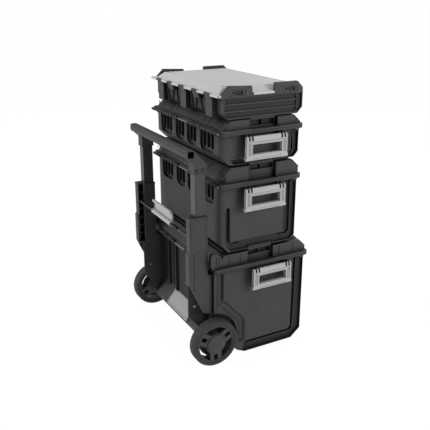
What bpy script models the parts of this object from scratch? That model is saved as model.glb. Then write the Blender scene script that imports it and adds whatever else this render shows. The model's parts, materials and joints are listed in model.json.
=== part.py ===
"""Rolling stack of four tool boxes with a telescopic handle, as separate solids.

Metres, +Z up. The origin is on the floor, under the middle of the boxes. X runs across the
stack, the opening fronts face -Y, and the wheels, the lid hinges and the handle are at +Y.
From the floor up: a wheeled bin, a medium box, a small box and a flat organizer.
"""

import math

import bmesh
import bpy
from mathutils import Matrix

# Fits and allowances
CLEARANCE = 0.0003
RUNNING_GAP = 0.0008
OVERRUN = 0.006
EMBED = 0.0015
SEAM_ANGLE = math.radians(35)
MERGE_DISTANCE = 0.00001

# Widths that all four boxes share, from the middle plane outwards
RIM_HALF_WIDTH = 0.280
RIM_REACH = 0.020
WALL_HALF_WIDTH = RIM_HALF_WIDTH - RIM_REACH
CHANNEL_DEPTH = 0.010
LID_REACH = 0.006
LID_HALF_WIDTH = WALL_HALF_WIDTH + LID_REACH
WALL = 0.0035
RIM_BAND = 0.0080
RIM_CORNER = 0.007

# Depths of the medium and small boxes, from the middle of their rims
BOX_RIM_HALF_DEPTH = 0.161
FRONT_WALL_MARGIN = 0.003
BOX_FRONT_WALL = BOX_RIM_HALF_DEPTH - FRONT_WALL_MARGIN
REAR_WALL_MARGIN = 0.006
BOX_REAR_WALL = BOX_RIM_HALF_DEPTH - REAR_WALL_MARGIN
FRONT_CORNER = 0.003
CAVITY_CORNER_RUN = 0.034
CAVITY_CORNER_DEEP = 0.020
REAR_CORNER = 0.018
REAR_CORNER_STEPS = 3
BOX_BOTTOM_CHAMFER = 0.020
CHANNEL_FLANGE = 0.004
CHANNEL_CORNER = 0.0185
CHANNEL_TOP_GAP = 0.002
CHANNEL_WIDTH = 0.012
PANEL_MARGIN = 0.033
PANEL_FRONT = BOX_FRONT_WALL - PANEL_MARGIN
PANEL_CORNER = 0.010
MEDIUM_PANEL_LOW = 0.037
MEDIUM_CHANNEL_MARGIN = 0.024
MEDIUM_CHANNEL_REAR = BOX_REAR_WALL - MEDIUM_CHANNEL_MARGIN
MEDIUM_CHANNEL_DROP = 0.083
SMALL_PANEL_LOW = 0.018
SMALL_CHANNEL_MARGIN = 0.037
SMALL_CHANNEL_REAR = BOX_REAR_WALL - SMALL_CHANNEL_MARGIN
BOX_REAR_CHAMFER = 0.034

# Heights of the stack, from floor to parting line and from parting line to lid top
BIN_HEIGHT = 0.3630
BIN_LID_RISE = 0.0510
MEDIUM_HEIGHT = 0.2475
MEDIUM_LID_RISE = 0.0590
SMALL_HEIGHT = 0.1130
SMALL_LID_RISE = 0.0380
ORGANIZER_HEIGHT = 0.0745
LID_PLATEAU = 0.0065
SMALL_LID_PLATEAU = 0.0025

# The bin is deeper than the boxes above it
BIN_FRONT_REACH = 0.048
BIN_RIM_FRONT = BOX_RIM_HALF_DEPTH + BIN_FRONT_REACH
BIN_REAR_REACH = 0.021
BIN_RIM_REAR = BOX_RIM_HALF_DEPTH + BIN_REAR_REACH
BIN_FRONT_MARGIN = 0.0035
BIN_FRONT_WALL = BIN_RIM_FRONT - BIN_FRONT_MARGIN
BIN_REAR_MARGIN = 0.004
BIN_REAR_WALL = BIN_RIM_REAR - BIN_REAR_MARGIN
BIN_REAR_RECESS = 0.013
BIN_RECESS_MARGIN = 0.062
BIN_RECESS_HALF_WIDTH = WALL_HALF_WIDTH - BIN_RECESS_MARGIN
BIN_BOTTOM_REAR = 0.048
BIN_FRONT_CHAMFER_RUN = 0.0435
BIN_FRONT_CHAMFER_RISE = 0.036
BEAM_MARGIN = 0.026
BEAM_HALF_WIDTH = WALL_HALF_WIDTH - BEAM_MARGIN
BEAM_REACH = 0.027
BEAM_REAR = BIN_REAR_WALL + BEAM_REACH
BEAM_LOW = 0.0725
BEAM_LIP = 0.0125
BEAM_RISE = 0.050
BEAM_WALL = 0.005
BEAM_TOP_WALL = 0.008
BIN_SKID_WALL = 0.0042
BIN_CHAMFER_INSET = 0.00175
BIN_RIB_PLACES = (0.0685, 0.135)
BIN_RIB_THICKNESS = 0.003
BIN_PANEL_MARGIN = 0.0495
BIN_PANEL_FRONT = BIN_FRONT_WALL - BIN_PANEL_MARGIN
BIN_PANEL_REAR = 0.055
BIN_PANEL_LOW = 0.045
BIN_ELBOW = 0.238
BIN_ELBOW_DROP = 0.092
BIN_STEP_WIDTH = 0.016
BIN_STEP_DEPTH = 0.004
BIN_STRIP_MARGIN = 0.018
BIN_STRIP_REAR = BIN_REAR_WALL - BIN_STRIP_MARGIN
BIN_STRIP_WIDTH = 0.017

# Lids
LID_FRONT_CHAMFER = 0.028
LID_REAR_MARGIN = 0.037
LID_REAR_TOP = BOX_REAR_WALL - LID_REAR_MARGIN
LID_REAR_SLOPE = 0.037
LID_REAR_CORNER = 0.019
LID_CAVITY_CORNER = 0.020
PLATEAU_MARGIN = 0.014
PLATEAU_HALF_WIDTH = WALL_HALF_WIDTH - PLATEAU_MARGIN
PLATEAU_INSET = 0.010
BIN_STOP_RISE = 0.0200
BIN_STOP_LENGTH = 0.0045
BIN_LID_REAR_MARGIN = 0.041
BIN_LID_REAR_TOP = BIN_RIM_REAR - BIN_LID_REAR_MARGIN
BIN_EAR_RISE = 0.0130
BIN_EAR_REACH = 0.0115
BIN_EAR_LENGTH = 0.040
BIN_EAR_ROUND = 0.008
BIN_EAR_GAP = 0.0016

# Notches in the lid sides, and the catch bars of the unit above that sit in them
NOTCH_CENTRE = -0.0075
NOTCH_LENGTH = 0.108
NOTCH_DEPTH = 0.014
WINDOW_DEPTH = 0.010
WINDOW_HEIGHT = 0.0185
WINDOW_INSET = 0.007
WINDOW_DIVIDER = 0.0022
BAR_LENGTH = 0.096
BAR_THICKNESS = 0.0085
BAR_DROP = 0.0085
BAR_RISE = 0.0090

# Rear pockets and hinges
POCKET_DEPTH = 0.0095
POCKET_DROP = 0.081
POCKET_ROUND = 0.022
POCKET_STEPS = 2
POCKET_MARGIN = 0.044
POCKET_SPANS = ((0.010, 0.085), (0.115, WALL_HALF_WIDTH - POCKET_MARGIN))
PIN_RADIUS = 0.0016
JOURNAL_RADIUS = 0.0022
KNUCKLE_RADIUS = 0.0055
KNUCKLE_STAND = 0.0070
COMB_START = 0.045
COMB_MARGIN = 0.010
COMB_END = RIM_HALF_WIDTH - COMB_MARGIN
BIN_COMB_MARGIN = 0.064
BIN_COMB_END = WALL_HALF_WIDTH - BIN_COMB_MARGIN
COMB_KNUCKLES = 5
BORE_SIDES = 8
KNUCKLE_SIDES = 10

# Seals
SEAL_WIDTH = 0.004
SEAL_DEPTH = 0.0032

# Side latches, front latches and carry handles: frames that hang from a pin
LATCH_STAND = 0.0080
LATCH_PIN_DROP = 0.0210
LATCH_WIDTH = 0.160
LATCH_LENGTH = 0.0770
LATCH_CENTRE = -0.0065
BIN_LATCH_CENTRE = -0.0455
LATCH_THICKNESS = 0.0130
LATCH_ROLL_RADIUS = 0.0078
LATCH_UPRIGHT = 0.0225
LATCH_WINDOW_TOP = 0.0210
LATCH_WINDOW_LOW = 0.0540
LUG_THICKNESS = 0.0050
LUG_RADIUS = 0.0045
FRONT_LUG_RADIUS = 0.0036
LUG_PLACES = (0.058, 0.070)
FRONT_LATCH_WIDTH = 0.070
FRONT_LATCH_LENGTH = 0.056
FRONT_LATCH_THICKNESS = 0.0100
FRONT_LATCH_MARGIN = 0.095
FRONT_LATCH_CENTRE = WALL_HALF_WIDTH - FRONT_LATCH_MARGIN
FRONT_LATCH_UPRIGHT = 0.0120
FRONT_LATCH_WINDOW_TOP = 0.0160
FRONT_LATCH_WINDOW_LOW = 0.0380
FRONT_LUG_PLACE = 0.026
FRONT_ROLL_RADIUS = 0.0065
HANDLE_WIDTH = 0.150
HANDLE_LENGTH = 0.062
HANDLE_THICKNESS = 0.0120
HANDLE_UPRIGHT = 0.0140
HANDLE_WINDOW_TOP = 0.0120
HANDLE_WINDOW_LOW = 0.0460
HANDLE_ROLL_RADIUS = 0.0085
HANDLE_LUG_PLACE = 0.064
HANDLE_PIN_DROP = 0.0300
HANDLE_STAND = 0.0120
ROLL_SIDES = 8
ROLL_OVERHANG = 0.0030
NOTCH_REACH = 0.0085

# Organizer
ORGANIZER_REACH = 0.002
ORGANIZER_HALF_WIDTH = WALL_HALF_WIDTH + ORGANIZER_REACH
ORGANIZER_FRONT_REACH = 0.004
ORGANIZER_FRONT = BOX_RIM_HALF_DEPTH + ORGANIZER_FRONT_REACH
ORGANIZER_REAR_MARGIN = 0.015
ORGANIZER_REAR = BOX_RIM_HALF_DEPTH - ORGANIZER_REAR_MARGIN
ORGANIZER_CHAMFER = 0.0205
ORGANIZER_GROOVE = 0.004
ORGANIZER_RIB = 0.005
ORGANIZER_GROOVE_COUNT = 3
ORGANIZER_POST_DEPTH = 0.0165
ORGANIZER_POST_REAR = ORGANIZER_REAR + ORGANIZER_POST_DEPTH
ORGANIZER_POST_MARGINS = (0.092, 0.046)
ORGANIZER_POSTS = (
    tuple(ORGANIZER_HALF_WIDTH - margin for margin in ORGANIZER_POST_MARGINS),
    (0.080, 0.122),
)
ORGANIZER_BLOCK = 0.022
ORGANIZER_TAB_HEIGHT = 0.020
ORGANIZER_PIN_REACH = 0.020
ORGANIZER_PIN_Y = ORGANIZER_REAR + ORGANIZER_PIN_REACH
ORGANIZER_PIN_RISE = 0.0040
ORGANIZER_KNUCKLE = 0.0036
ORGANIZER_LID_EDGE = 0.0080
ORGANIZER_LID_REAR_REACH = 0.0255
ORGANIZER_LID_REAR = ORGANIZER_REAR + ORGANIZER_LID_REAR_REACH
ORGANIZER_LID_RISE = 0.0265
ORGANIZER_LID_REACH = 0.006
ORGANIZER_LID_HALF_WIDTH = ORGANIZER_HALF_WIDTH + ORGANIZER_LID_REACH
ORGANIZER_LID_BORDER = 0.012
ORGANIZER_LID_SLOPE = 0.016
ORGANIZER_LID_WALL = 0.0025
ORGANIZER_HANDLE_LENGTH = 0.048
ORGANIZER_HANDLE_WINDOW = 0.034
GUARD_THICKNESS = 0.0115
GUARD_RISE = 0.0350
GUARD_CHAMFER = 0.0300
GUARD_FRONT_CHAMFER = 0.0220
GUARD_REAR_REACH = 0.009
GUARD_REAR_SPAN = (0.036, ORGANIZER_REAR + GUARD_REAR_REACH)
GUARD_FRONT_MARGIN = 0.001
GUARD_FRONT_SPAN = (GUARD_FRONT_MARGIN - ORGANIZER_FRONT, -0.051)
GUARD_STEP = 0.005
ORGANIZER_FOOT_CHAMFER = 0.020
ORGANIZER_GROOVE_MARGIN = 0.028
ORGANIZER_GROOVE_FRONT = ORGANIZER_GROOVE_MARGIN - ORGANIZER_FRONT
ORGANIZER_POST_NECK = 0.010
ORGANIZER_LID_NECK = 0.0082
ORGANIZER_HANDLE_DROP = 0.018
ORGANIZER_REAR_SLOPE_SHARE = 1.5
LID_SWING_GAP = 0.0045
LID_REAR_GAP = 0.0016
DIVIDER_GAP = 0.001
DIVIDER_THICKNESS = 0.0020
DIVIDER_HEIGHT = 0.058
DIVIDER_PLACES_SHARE = (-0.5, 0.0, 0.5)

# Wheels
WHEEL_RADIUS = 0.089
WHEEL_WIDTH = 0.042
WHEEL_MARGIN = 0.0085
WHEEL_INNER_FACE = WALL_HALF_WIDTH - WHEEL_MARGIN
WHEEL_REACH = 0.009
WHEEL_Y = BIN_REAR_WALL + WHEEL_REACH
TREAD_THICKNESS = 0.016
TREAD_ROUND = 0.006
RIM_WEB_OUTER = 0.066
RIM_WEB_INNER = 0.040
SPOKE_HALF_WIDTH = 0.0230
SPOKE_SLOT_HALF_WIDTH = 0.0075
SPOKE_SLOT_SPAN = (0.043, 0.065)
SPOKE_COUNT = 3
SPOKE_FIRST_ANGLE = math.radians(60)
OPENING_OUTER_STEPS = 6
OPENING_INNER_STEPS = 4
HUB_INSET = 0.0025
CAP_RADIUS = 0.034
CAP_RISE = 0.0022
CAP_SHARES = ((0.0, 1.0), (0.55, 0.95), (0.82, 0.80), (1.0, 0.45))
AXLE_RADIUS = 0.006
AXLE_SIDES = 16
WELL_RADIUS = 0.104
WELL_MARGIN = 0.023
WELL_INNER = WALL_HALF_WIDTH - WELL_MARGIN
WHEEL_SIDES = 36
WELL_STEPS = 12
CAP_SIDES = 24

# Handle posts on the back of the bin, and the tubes that slide in them
POST_MARGIN = 0.0125
POST_OUTER = WALL_HALF_WIDTH - POST_MARGIN
POST_WIDTH = 0.044
POST_INNER = POST_OUTER - POST_WIDTH
POST_WALL = 0.0035
POST_TOP = 0.565
POST_GAP = 0.0185
POST_FRONT = BIN_REAR_WALL + POST_GAP
POST_DEPTH = 0.0675
POST_BACK_SETBACK = 0.015
POST_REAR = POST_FRONT + POST_DEPTH
POST_STEP_REACH = 0.0054
POST_STEP_REAR = POST_REAR + POST_STEP_REACH
POST_STEP_TOP = 0.437
POST_STEP_LOW = 0.318
POST_DIAGONAL_DEPTH = 0.0197
POST_DIAGONAL_REAR = POST_FRONT + POST_DIAGONAL_DEPTH
POST_DIAGONAL_LOW = 0.201
POST_FOOT_LOW = 0.187
POST_SHOULDER = 0.345
POST_RIB_COUNT = 7
POST_RIB_THICKNESS = 0.003
POST_POCKET_LOW = 0.318
BRACKET_MARGIN = 0.0090
BRACKET_REAR = POST_REAR - BRACKET_MARGIN
BRACKET_REAR_LOW = 0.174
BRACKET_TIP_DEPTH = 0.0235
BRACKET_TIP = POST_FRONT + BRACKET_TIP_DEPTH
BRACKET_TIP_LOW = 0.133
BRACKET_GAP = 0.0006
TUBE_WIDTH = 0.032
TUBE_DEPTH = 0.040
TUBE_WALL = 0.002
TUBE_FRONT_GAP = 0.0035
TUBE_FRONT = POST_FRONT + TUBE_FRONT_GAP
TUBE_SIDE_GAP = 0.0045
TUBE_INNER = POST_INNER + TUBE_SIDE_GAP
TUBE_PLAY = 0.0005
TUBE_LOW = 0.330
TUBE_TOP = 0.748
FOOT_HEIGHT = 0.012
COLLAR_LOW = 0.714
COLLAR_TOP = 0.793
COLLAR_WALL = 0.0035
COLLAR_GUSSET = 0.020
COLLAR_LEDGE = 0.00725
GRIP_REACH = 0.0572
GRIP_Y = TUBE_FRONT + GRIP_REACH
GRIP_Z = 0.7853
GRIP_SIZE = 0.029
GRIP_ROUND = 0.007
GRIP_WALL = 0.0035
GRIP_OUTER_STEPS = 3
GRIP_INNER_STEPS = 2
GRIP_OVERHANG = 0.0025
GRIP_HALF_LENGTH = POST_OUTER + GRIP_OVERHANG
SCREW_RADIUS = 0.0045
SCREW_HEAD = 0.0025
POST_SCREW_PLACES = (0.225, 0.305)
COLLAR_SCREW_DEPTHS = (0.010, 0.032)
COLLAR_SCREW_PLACES = tuple(TUBE_FRONT + depth for depth in COLLAR_SCREW_DEPTHS)
COLLAR_SCREW_Z = 0.7270

# Release paddle and its rod
ROD_RADIUS = 0.004
ROD_MARGIN_REAR = 0.0070
ROD_Y = POST_REAR - ROD_MARGIN_REAR
ROD_Z = 0.4930
ROD_MARGIN = 0.0155
ROD_HALF_LENGTH = POST_OUTER - ROD_MARGIN
ROD_BOSS = 0.012
PADDLE_HALF_WIDTH = 0.079
PADDLE_TOP = 0.0430
PADDLE_THICKNESS = 0.0045
PADDLE_SAG = 0.0055
PADDLE_LIP = 0.0075
PADDLE_CURL = 0.0085
PADDLE_STEPS = 6

# Kick plate on the rear beam
KICK_HALF_WIDTH = 0.090
KICK_THICKNESS = 0.0040
KICK_GAP = 0.00045

BLACK_PLASTIC = (0.045, 0.045, 0.047)
DARK_PLASTIC = (0.030, 0.030, 0.032)
LATCH_GREY = (0.430, 0.430, 0.430)
LID_GREY = (0.500, 0.500, 0.500)
KICK_GREY = (0.330, 0.330, 0.330)
TUBE_BLACK = (0.030, 0.030, 0.032)
STEEL = (0.520, 0.520, 0.530)
RUBBER_BLACK = (0.022, 0.022, 0.023)

AXES = "XYZ"


def clear_scene():
    """Remove every object that the file opened with."""
    for item in list(bpy.data.objects):
        bpy.data.objects.remove(item, do_unlink=True)


def make_collection(name):
    collection = bpy.data.collections.new(name)
    bpy.context.scene.collection.children.link(collection)
    return collection


def make_finish(name, colour, roughness, metallic=0.0):
    """Principled material of one plain colour."""
    material = bpy.data.materials.new(name)
    material.use_nodes = True
    shader = material.node_tree.nodes["Principled BSDF"]
    shader.inputs["Base Color"].default_value = (*colour, 1.0)
    shader.inputs["Roughness"].default_value = roughness
    shader.inputs["Metallic"].default_value = metallic
    return material


class Shop:
    """The two collections and the finishes that every piece is made with."""

    def __init__(self):
        self.pieces = make_collection("toolbox_stack")
        self.cutters = make_collection("toolbox_cutters")
        self.finishes = {
            "plastic": (BLACK_PLASTIC, 0.62, 0.0),
            "dark": (DARK_PLASTIC, 0.55, 0.0),
            "latch": (LATCH_GREY, 0.50, 0.0),
            "lid": (LID_GREY, 0.48, 0.0),
            "kick": (KICK_GREY, 0.60, 0.0),
            "tube": (TUBE_BLACK, 0.40, 0.7),
            "steel": (STEEL, 0.35, 1.0),
            "rubber": (RUBBER_BLACK, 0.85, 0.0),
        }

    def keep(self, item, finish):
        """Move a finished piece to the object's collection and give it its own material."""
        self.cutters.objects.unlink(item)
        self.pieces.objects.link(item)
        item.hide_render = False
        item.display_type = "TEXTURED"
        colour, roughness, metallic = self.finishes[finish]
        item.data.materials.append(make_finish(item.name, colour, roughness, metallic))
        return item


def place_mesh(shop, name, mesh):
    """New object from a mesh, kept among the cutters until it is a finished piece."""
    item = bpy.data.objects.new(name, mesh)
    shop.cutters.objects.link(item)
    item.hide_render = True
    item.display_type = "WIRE"
    return item


def block(shop, name, low, high):
    """Box between two corners."""
    sizes = [b - a for a, b in zip(low, high)]
    mesh = bpy.data.meshes.new(name)
    shape = bmesh.new()
    bmesh.ops.create_cube(shape, size=1, matrix=Matrix.Diagonal((*sizes, 1)))
    shape.to_mesh(mesh)
    shape.free()
    item = place_mesh(shop, name, mesh)
    item.location = [(a + b) / 2 for a, b in zip(low, high)]
    return item


def cylinder(shop, name, radius, axis, start, end, centre, sides=BORE_SIDES):
    """Round bar along X, Y or Z; centre gives the two other coordinates, in axis order."""
    mesh = bpy.data.meshes.new(name)
    shape = bmesh.new()
    bmesh.ops.create_cone(
        shape,
        cap_ends=True,
        segments=sides,
        radius1=radius,
        radius2=radius,
        depth=end - start,
    )
    shape.to_mesh(mesh)
    shape.free()
    mesh.shade_smooth()
    mesh.set_sharp_from_angle(angle=SEAM_ANGLE)
    item = place_mesh(shop, name, mesh)
    turns = {"X": (0, math.pi / 2, 0), "Y": (math.pi / 2, 0, 0), "Z": (0, 0, 0)}
    item.rotation_euler = turns[axis]
    spot = list(centre)
    spot.insert(AXES.index(axis), (start + end) / 2)
    item.location = spot
    return item


def outline(shop, name, points, axis, start, end, holes=()):
    """Flat outline pushed along an axis.

    Points are (y, z) for X, (x, z) for Y and (x, y) for Z.
    """
    curve = bpy.data.curves.new(name, "CURVE")
    curve.dimensions = "2D"
    curve.fill_mode = "BOTH"
    curve.extrude = (end - start) / 2
    for loop in (points, *holes):
        spline = curve.splines.new("POLY")
        spline.points.add(len(loop) - 1)
        for spot, (u, v) in zip(spline.points, loop):
            spot.co = (u, v, 0, 1)
        spline.use_cyclic_u = True
    drawn = bpy.data.objects.new(name, curve)
    shop.cutters.objects.link(drawn)
    mesh = solid_mesh(drawn, name)
    bpy.data.objects.remove(drawn, do_unlink=True)
    bpy.data.curves.remove(curve)
    item = place_mesh(shop, name, mesh)
    half = math.pi / 2
    turns = {"X": (half, 0, half), "Y": (half, 0, 0), "Z": (0, 0, 0)}
    item.rotation_euler = turns[axis]
    spot = [0, 0, 0]
    spot[AXES.index(axis)] = (start + end) / 2
    item.location = spot
    return item


def solid_mesh(drawn, name):
    """Mesh of a curve object, with its caps welded."""
    graph = bpy.context.evaluated_depsgraph_get()
    mesh = bpy.data.meshes.new_from_object(drawn.evaluated_get(graph))
    mesh.name = name
    shape = bmesh.new()
    shape.from_mesh(mesh)
    bmesh.ops.remove_doubles(shape, verts=shape.verts, dist=MERGE_DISTANCE)
    bmesh.ops.recalc_face_normals(shape, faces=shape.faces)
    shape.to_mesh(mesh)
    shape.free()
    return mesh


def boolean(target, other, operation):
    step = target.modifiers.new(f"{operation.lower()}_{other.name}", "BOOLEAN")
    step.object = other
    step.operation = operation
    step.solver = "EXACT"


def cut(target, *others):
    for other in others:
        boolean(target, other, "DIFFERENCE")


def join(target, *others):
    for other in others:
        boolean(target, other, "UNION")


def trim(target, other):
    boolean(target, other, "INTERSECT")


def mirrored(half):
    """Close a half outline, given from front to rear on the +X side, over the middle plane."""
    return list(half) + [(-x, y) for x, y in reversed(half)]


def arc(centre, radius, first, last, steps):
    """Points on an arc between two angles."""
    turn = (last - first) / steps
    return [
        (
            centre[0] + radius * math.cos(first + turn * i),
            centre[1] + radius * math.sin(first + turn * i),
        )
        for i in range(steps + 1)
    ]


def inner_leg(leg, wall):
    """Leg of a 45 degree chamfer on the inside of a wall."""
    return leg - wall * (2 - math.sqrt(2))


def cropped_rectangle(half_width, front, rear, corner):
    """Plan of a rectangle with four equal chamfers."""
    return mirrored(
        [
            (half_width - corner, -front),
            (half_width, -front + corner),
            (half_width, rear - corner),
            (half_width - corner, rear),
        ]
    )


def tub_plan(half_width, front, rear, shrink):
    """Plan of a box body, or of its cavity with long chamfers at the front corners."""
    deep = run = FRONT_CORNER
    if shrink:
        deep = inner_leg(CAVITY_CORNER_DEEP, shrink)
        run = inner_leg(CAVITY_CORNER_RUN, shrink)
    radius = REAR_CORNER - shrink
    front = front - shrink
    rear = rear - shrink
    spot = (half_width - radius, rear - radius)
    corner = arc(spot, radius, 0, math.pi / 2, REAR_CORNER_STEPS)
    return mirrored([(half_width - deep, -front), (half_width, run - front), *corner])


class Unit:
    """Heights of one unit of the stack: its floor, parting line, lid top and seat."""

    def __init__(self, floor, height, rise, plateau):
        self.floor = floor
        self.parting = floor + height
        self.edge = self.parting + rise
        self.seat = self.edge + plateau
        self.rim_top = self.parting + RIM_BAND
        self.rim_low = self.parting - RIM_BAND
        self.latch_pin = self.parting - LATCH_PIN_DROP


BIN = Unit(0.0, BIN_HEIGHT, BIN_LID_RISE, LID_PLATEAU)
MEDIUM = Unit(BIN.seat + CLEARANCE, MEDIUM_HEIGHT, MEDIUM_LID_RISE, LID_PLATEAU)
SMALL = Unit(MEDIUM.seat + CLEARANCE, SMALL_HEIGHT, SMALL_LID_RISE, SMALL_LID_PLATEAU)
ORGANIZER = Unit(SMALL.seat + CLEARANCE, ORGANIZER_HEIGHT, ORGANIZER_LID_RISE, 0.0)

HINGE_Y = BOX_RIM_HALF_DEPTH + KNUCKLE_STAND
BIN_HINGE_Y = BIN_RIM_REAR + KNUCKLE_STAND
LATCH_PIN_X = RIM_HALF_WIDTH + LATCH_STAND
CHANNEL_PLANE = WALL_HALF_WIDTH - CHANNEL_DEPTH
CAVITY_HALF_WIDTH = CHANNEL_PLANE - WALL


def make_rod(shop, name, half_length, spot):
    """Steel hinge rod across the whole back; spot is its (y, z)."""
    rod = cylinder(shop, name, PIN_RADIUS, "X", -half_length, half_length, spot)
    shop.keep(rod, "steel")


def comb_spans(first, last, side, odd):
    """X spans of every other knuckle of one hinge comb."""
    pitch = (last - first) / COMB_KNUCKLES
    spans = []
    for i in range(1 if odd else 0, COMB_KNUCKLES, 2):
        low = first + pitch * i + RUNNING_GAP / 2
        high = first + pitch * (i + 1) - RUNNING_GAP / 2
        spans.append((low, high) if side > 0 else (-high, -low))
    return spans


def add_knuckles(shop, target, unit, rim_rear, pin_y, comb_end, on_lid):
    """Hinge barrels along the rear rim; the tub has the outer ones, the lid those between."""
    if on_lid:
        web_low, web_high = unit.parting + RUNNING_GAP, unit.parting + KNUCKLE_RADIUS
    else:
        web_low, web_high = unit.parting - KNUCKLE_RADIUS, unit.parting - RUNNING_GAP
    for side in (1, -1):
        for low, high in comb_spans(COMB_START, comb_end, side, on_lid):
            tag = f"{target.name}_{low:.3f}"
            barrel = cylinder(
                shop, f"barrel_{tag}", KNUCKLE_RADIUS, "X", low, high,
                (pin_y, unit.parting), KNUCKLE_SIDES,
            )
            web = block(
                shop, f"web_{tag}", (low, rim_rear - EMBED, web_low), (high, pin_y, web_high)
            )
            join(target, web, barrel)
    bore = cylinder(
        shop, f"bore_{target.name}", PIN_RADIUS + CLEARANCE, "X",
        -comb_end - OVERRUN, comb_end + OVERRUN, (pin_y, unit.parting),
    )
    cut(target, bore)


def add_side_lugs(shop, target, unit, centre):
    """Ears under the side rims that carry the pins of the side latches."""
    pin = unit.latch_pin
    inner = CHANNEL_PLANE - EMBED
    brace = RIM_HALF_WIDTH - RUNNING_GAP
    ear = [
        (inner, pin - LUG_RADIUS),
        (LATCH_PIN_X, pin - LUG_RADIUS),
        (LATCH_PIN_X + LUG_RADIUS, pin),
        (LATCH_PIN_X, pin + LUG_RADIUS),
        (brace, pin + LUG_RADIUS),
        (brace, unit.rim_low + EMBED),
        (inner, unit.rim_low + EMBED),
    ]
    for side in (1, -1):
        for place in LUG_PLACES:
            for end in (1, -1):
                middle = centre + end * place
                points = [(side * x, z) for x, z in ear]
                lug = outline(
                    shop, f"lug_{target.name}_{side}_{middle:.3f}", points, "Y",
                    middle - LUG_THICKNESS / 2, middle + LUG_THICKNESS / 2,
                )
                join(target, lug)
        bore = cylinder(
            shop, f"latch_bore_{target.name}_{side}", JOURNAL_RADIUS + CLEARANCE, "Y",
            centre - LATCH_WIDTH / 2, centre + LATCH_WIDTH / 2, (side * LATCH_PIN_X, pin),
        )
        cut(target, bore)


def front_lug_points(face, pin_y, pin_z):
    """Ear on a front face, seen along X, that carries a pin across the front."""
    return [
        (EMBED - face, pin_z - FRONT_LUG_RADIUS),
        (-pin_y, pin_z - FRONT_LUG_RADIUS),
        (-pin_y - FRONT_LUG_RADIUS, pin_z),
        (-pin_y, pin_z + FRONT_LUG_RADIUS),
        (EMBED - face, pin_z + FRONT_LUG_RADIUS),
    ]


def add_front_lugs(shop, target, face, pin_y, pin_z, centres, place):
    """Pairs of ears on a front face, one pair for each centre."""
    points = front_lug_points(face, pin_y, pin_z)
    for centre in centres:
        for end in (1, -1):
            middle = centre + end * place
            lug = outline(
                shop, f"front_lug_{target.name}_{middle:.3f}", points, "X",
                middle - LUG_THICKNESS / 2, middle + LUG_THICKNESS / 2,
            )
            join(target, lug)
        reach = place + LUG_THICKNESS
        bore = cylinder(
            shop, f"front_bore_{target.name}_{centre:.3f}", JOURNAL_RADIUS + CLEARANCE, "X",
            centre - reach, centre + reach, (-pin_y, pin_z),
        )
        cut(target, bore)


def baked_mesh(item):
    """Mesh of a piece with its cuts applied; the piece and its helpers are removed."""
    graph = bpy.context.evaluated_depsgraph_get()
    mesh = bpy.data.meshes.new_from_object(item.evaluated_get(graph))
    mesh.transform(item.matrix_world)
    for helper in [step.object for step in item.modifiers]:
        bpy.data.objects.remove(helper, do_unlink=True)
    bpy.data.objects.remove(item, do_unlink=True)
    return mesh


def flap_mesh(shop, name, width, length, thickness, upright, window, roll, lugs):
    """Frame that hangs on its moulded journals: barrel, notches for the ears, window, roll.

    The origin is on the journals, X points outwards, Y runs along them, and it hangs to -Z.
    """
    half = width / 2
    barrel = thickness / 2
    roll_z = roll - length
    flap = block(shop, name, (-barrel, -half, roll_z), (barrel, half, 0))
    bar = cylinder(shop, f"{name}_bar", barrel, "Y", -half, half, (0, 0), ROLL_SIDES)
    edge = cylinder(
        shop, f"{name}_roll", roll, "Y",
        -half - ROLL_OVERHANG, half + ROLL_OVERHANG, (0, roll_z), ROLL_SIDES,
    )
    join(flap, bar, edge)
    opening = block(
        shop, f"{name}_window",
        (-thickness, upright - half, -window[1]), (thickness, half - upright, -window[0]),
    )
    cut(flap, opening)
    for place in lugs:
        for end in (1, -1):
            slot = LUG_THICKNESS / 2 + RUNNING_GAP
            notch = block(
                shop, f"{name}_notch_{end * place:.3f}",
                (-thickness, end * place - slot, -NOTCH_REACH),
                (thickness, end * place + slot, NOTCH_REACH),
            )
            cut(flap, notch)
    reach = lugs[-1] + LUG_THICKNESS
    journal = cylinder(shop, f"{name}_journal", JOURNAL_RADIUS, "Y", -reach, reach, (0, 0))
    join(flap, journal)
    return baked_mesh(flap)


def hang_flap(shop, name, mesh, pin, turn, finish):
    """Put a flap on its pin, turned about Z so that its outer face looks outwards."""
    flap = place_mesh(shop, name, mesh.copy())
    flap.location = pin
    flap.rotation_euler = (0, 0, turn)
    return shop.keep(flap, finish)


def make_tub(shop, name, unit, plan, profile, cavity_plan, cavity_profile, rim_plan):
    """Open tub: a plan crossed with a side profile, a rim flange, and a cavity."""
    reach = RIM_HALF_WIDTH
    top = unit.parting - CLEARANCE / 2
    tub = outline(shop, name, plan, "Z", unit.floor - OVERRUN, top)
    trim(tub, outline(shop, f"{name}_profile", profile, "X", -reach, reach))
    join(tub, outline(shop, f"{name}_flange", rim_plan, "Z", unit.rim_low, top))
    cavity = outline(
        shop, f"{name}_cavity", cavity_plan, "Z", unit.floor - OVERRUN, top + OVERRUN
    )
    trim(cavity, outline(shop, f"{name}_cavity_profile", cavity_profile, "X", -reach, reach))
    return tub, cavity


def cut_channels(shop, tub, outlines):
    """Sunk channels round the side panels; each outline is (points, depth), seen along X."""
    reach = RIM_HALF_WIDTH + OVERRUN
    for index, (points, depth) in enumerate(outlines):
        for side in (1, -1):
            near = side * (WALL_HALF_WIDTH - depth)
            start, end = sorted((near, side * reach))
            cut(tub, outline(
                shop, f"{tub.name}_channel_{index}_{side}", points, "X", start, end
            ))


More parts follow.
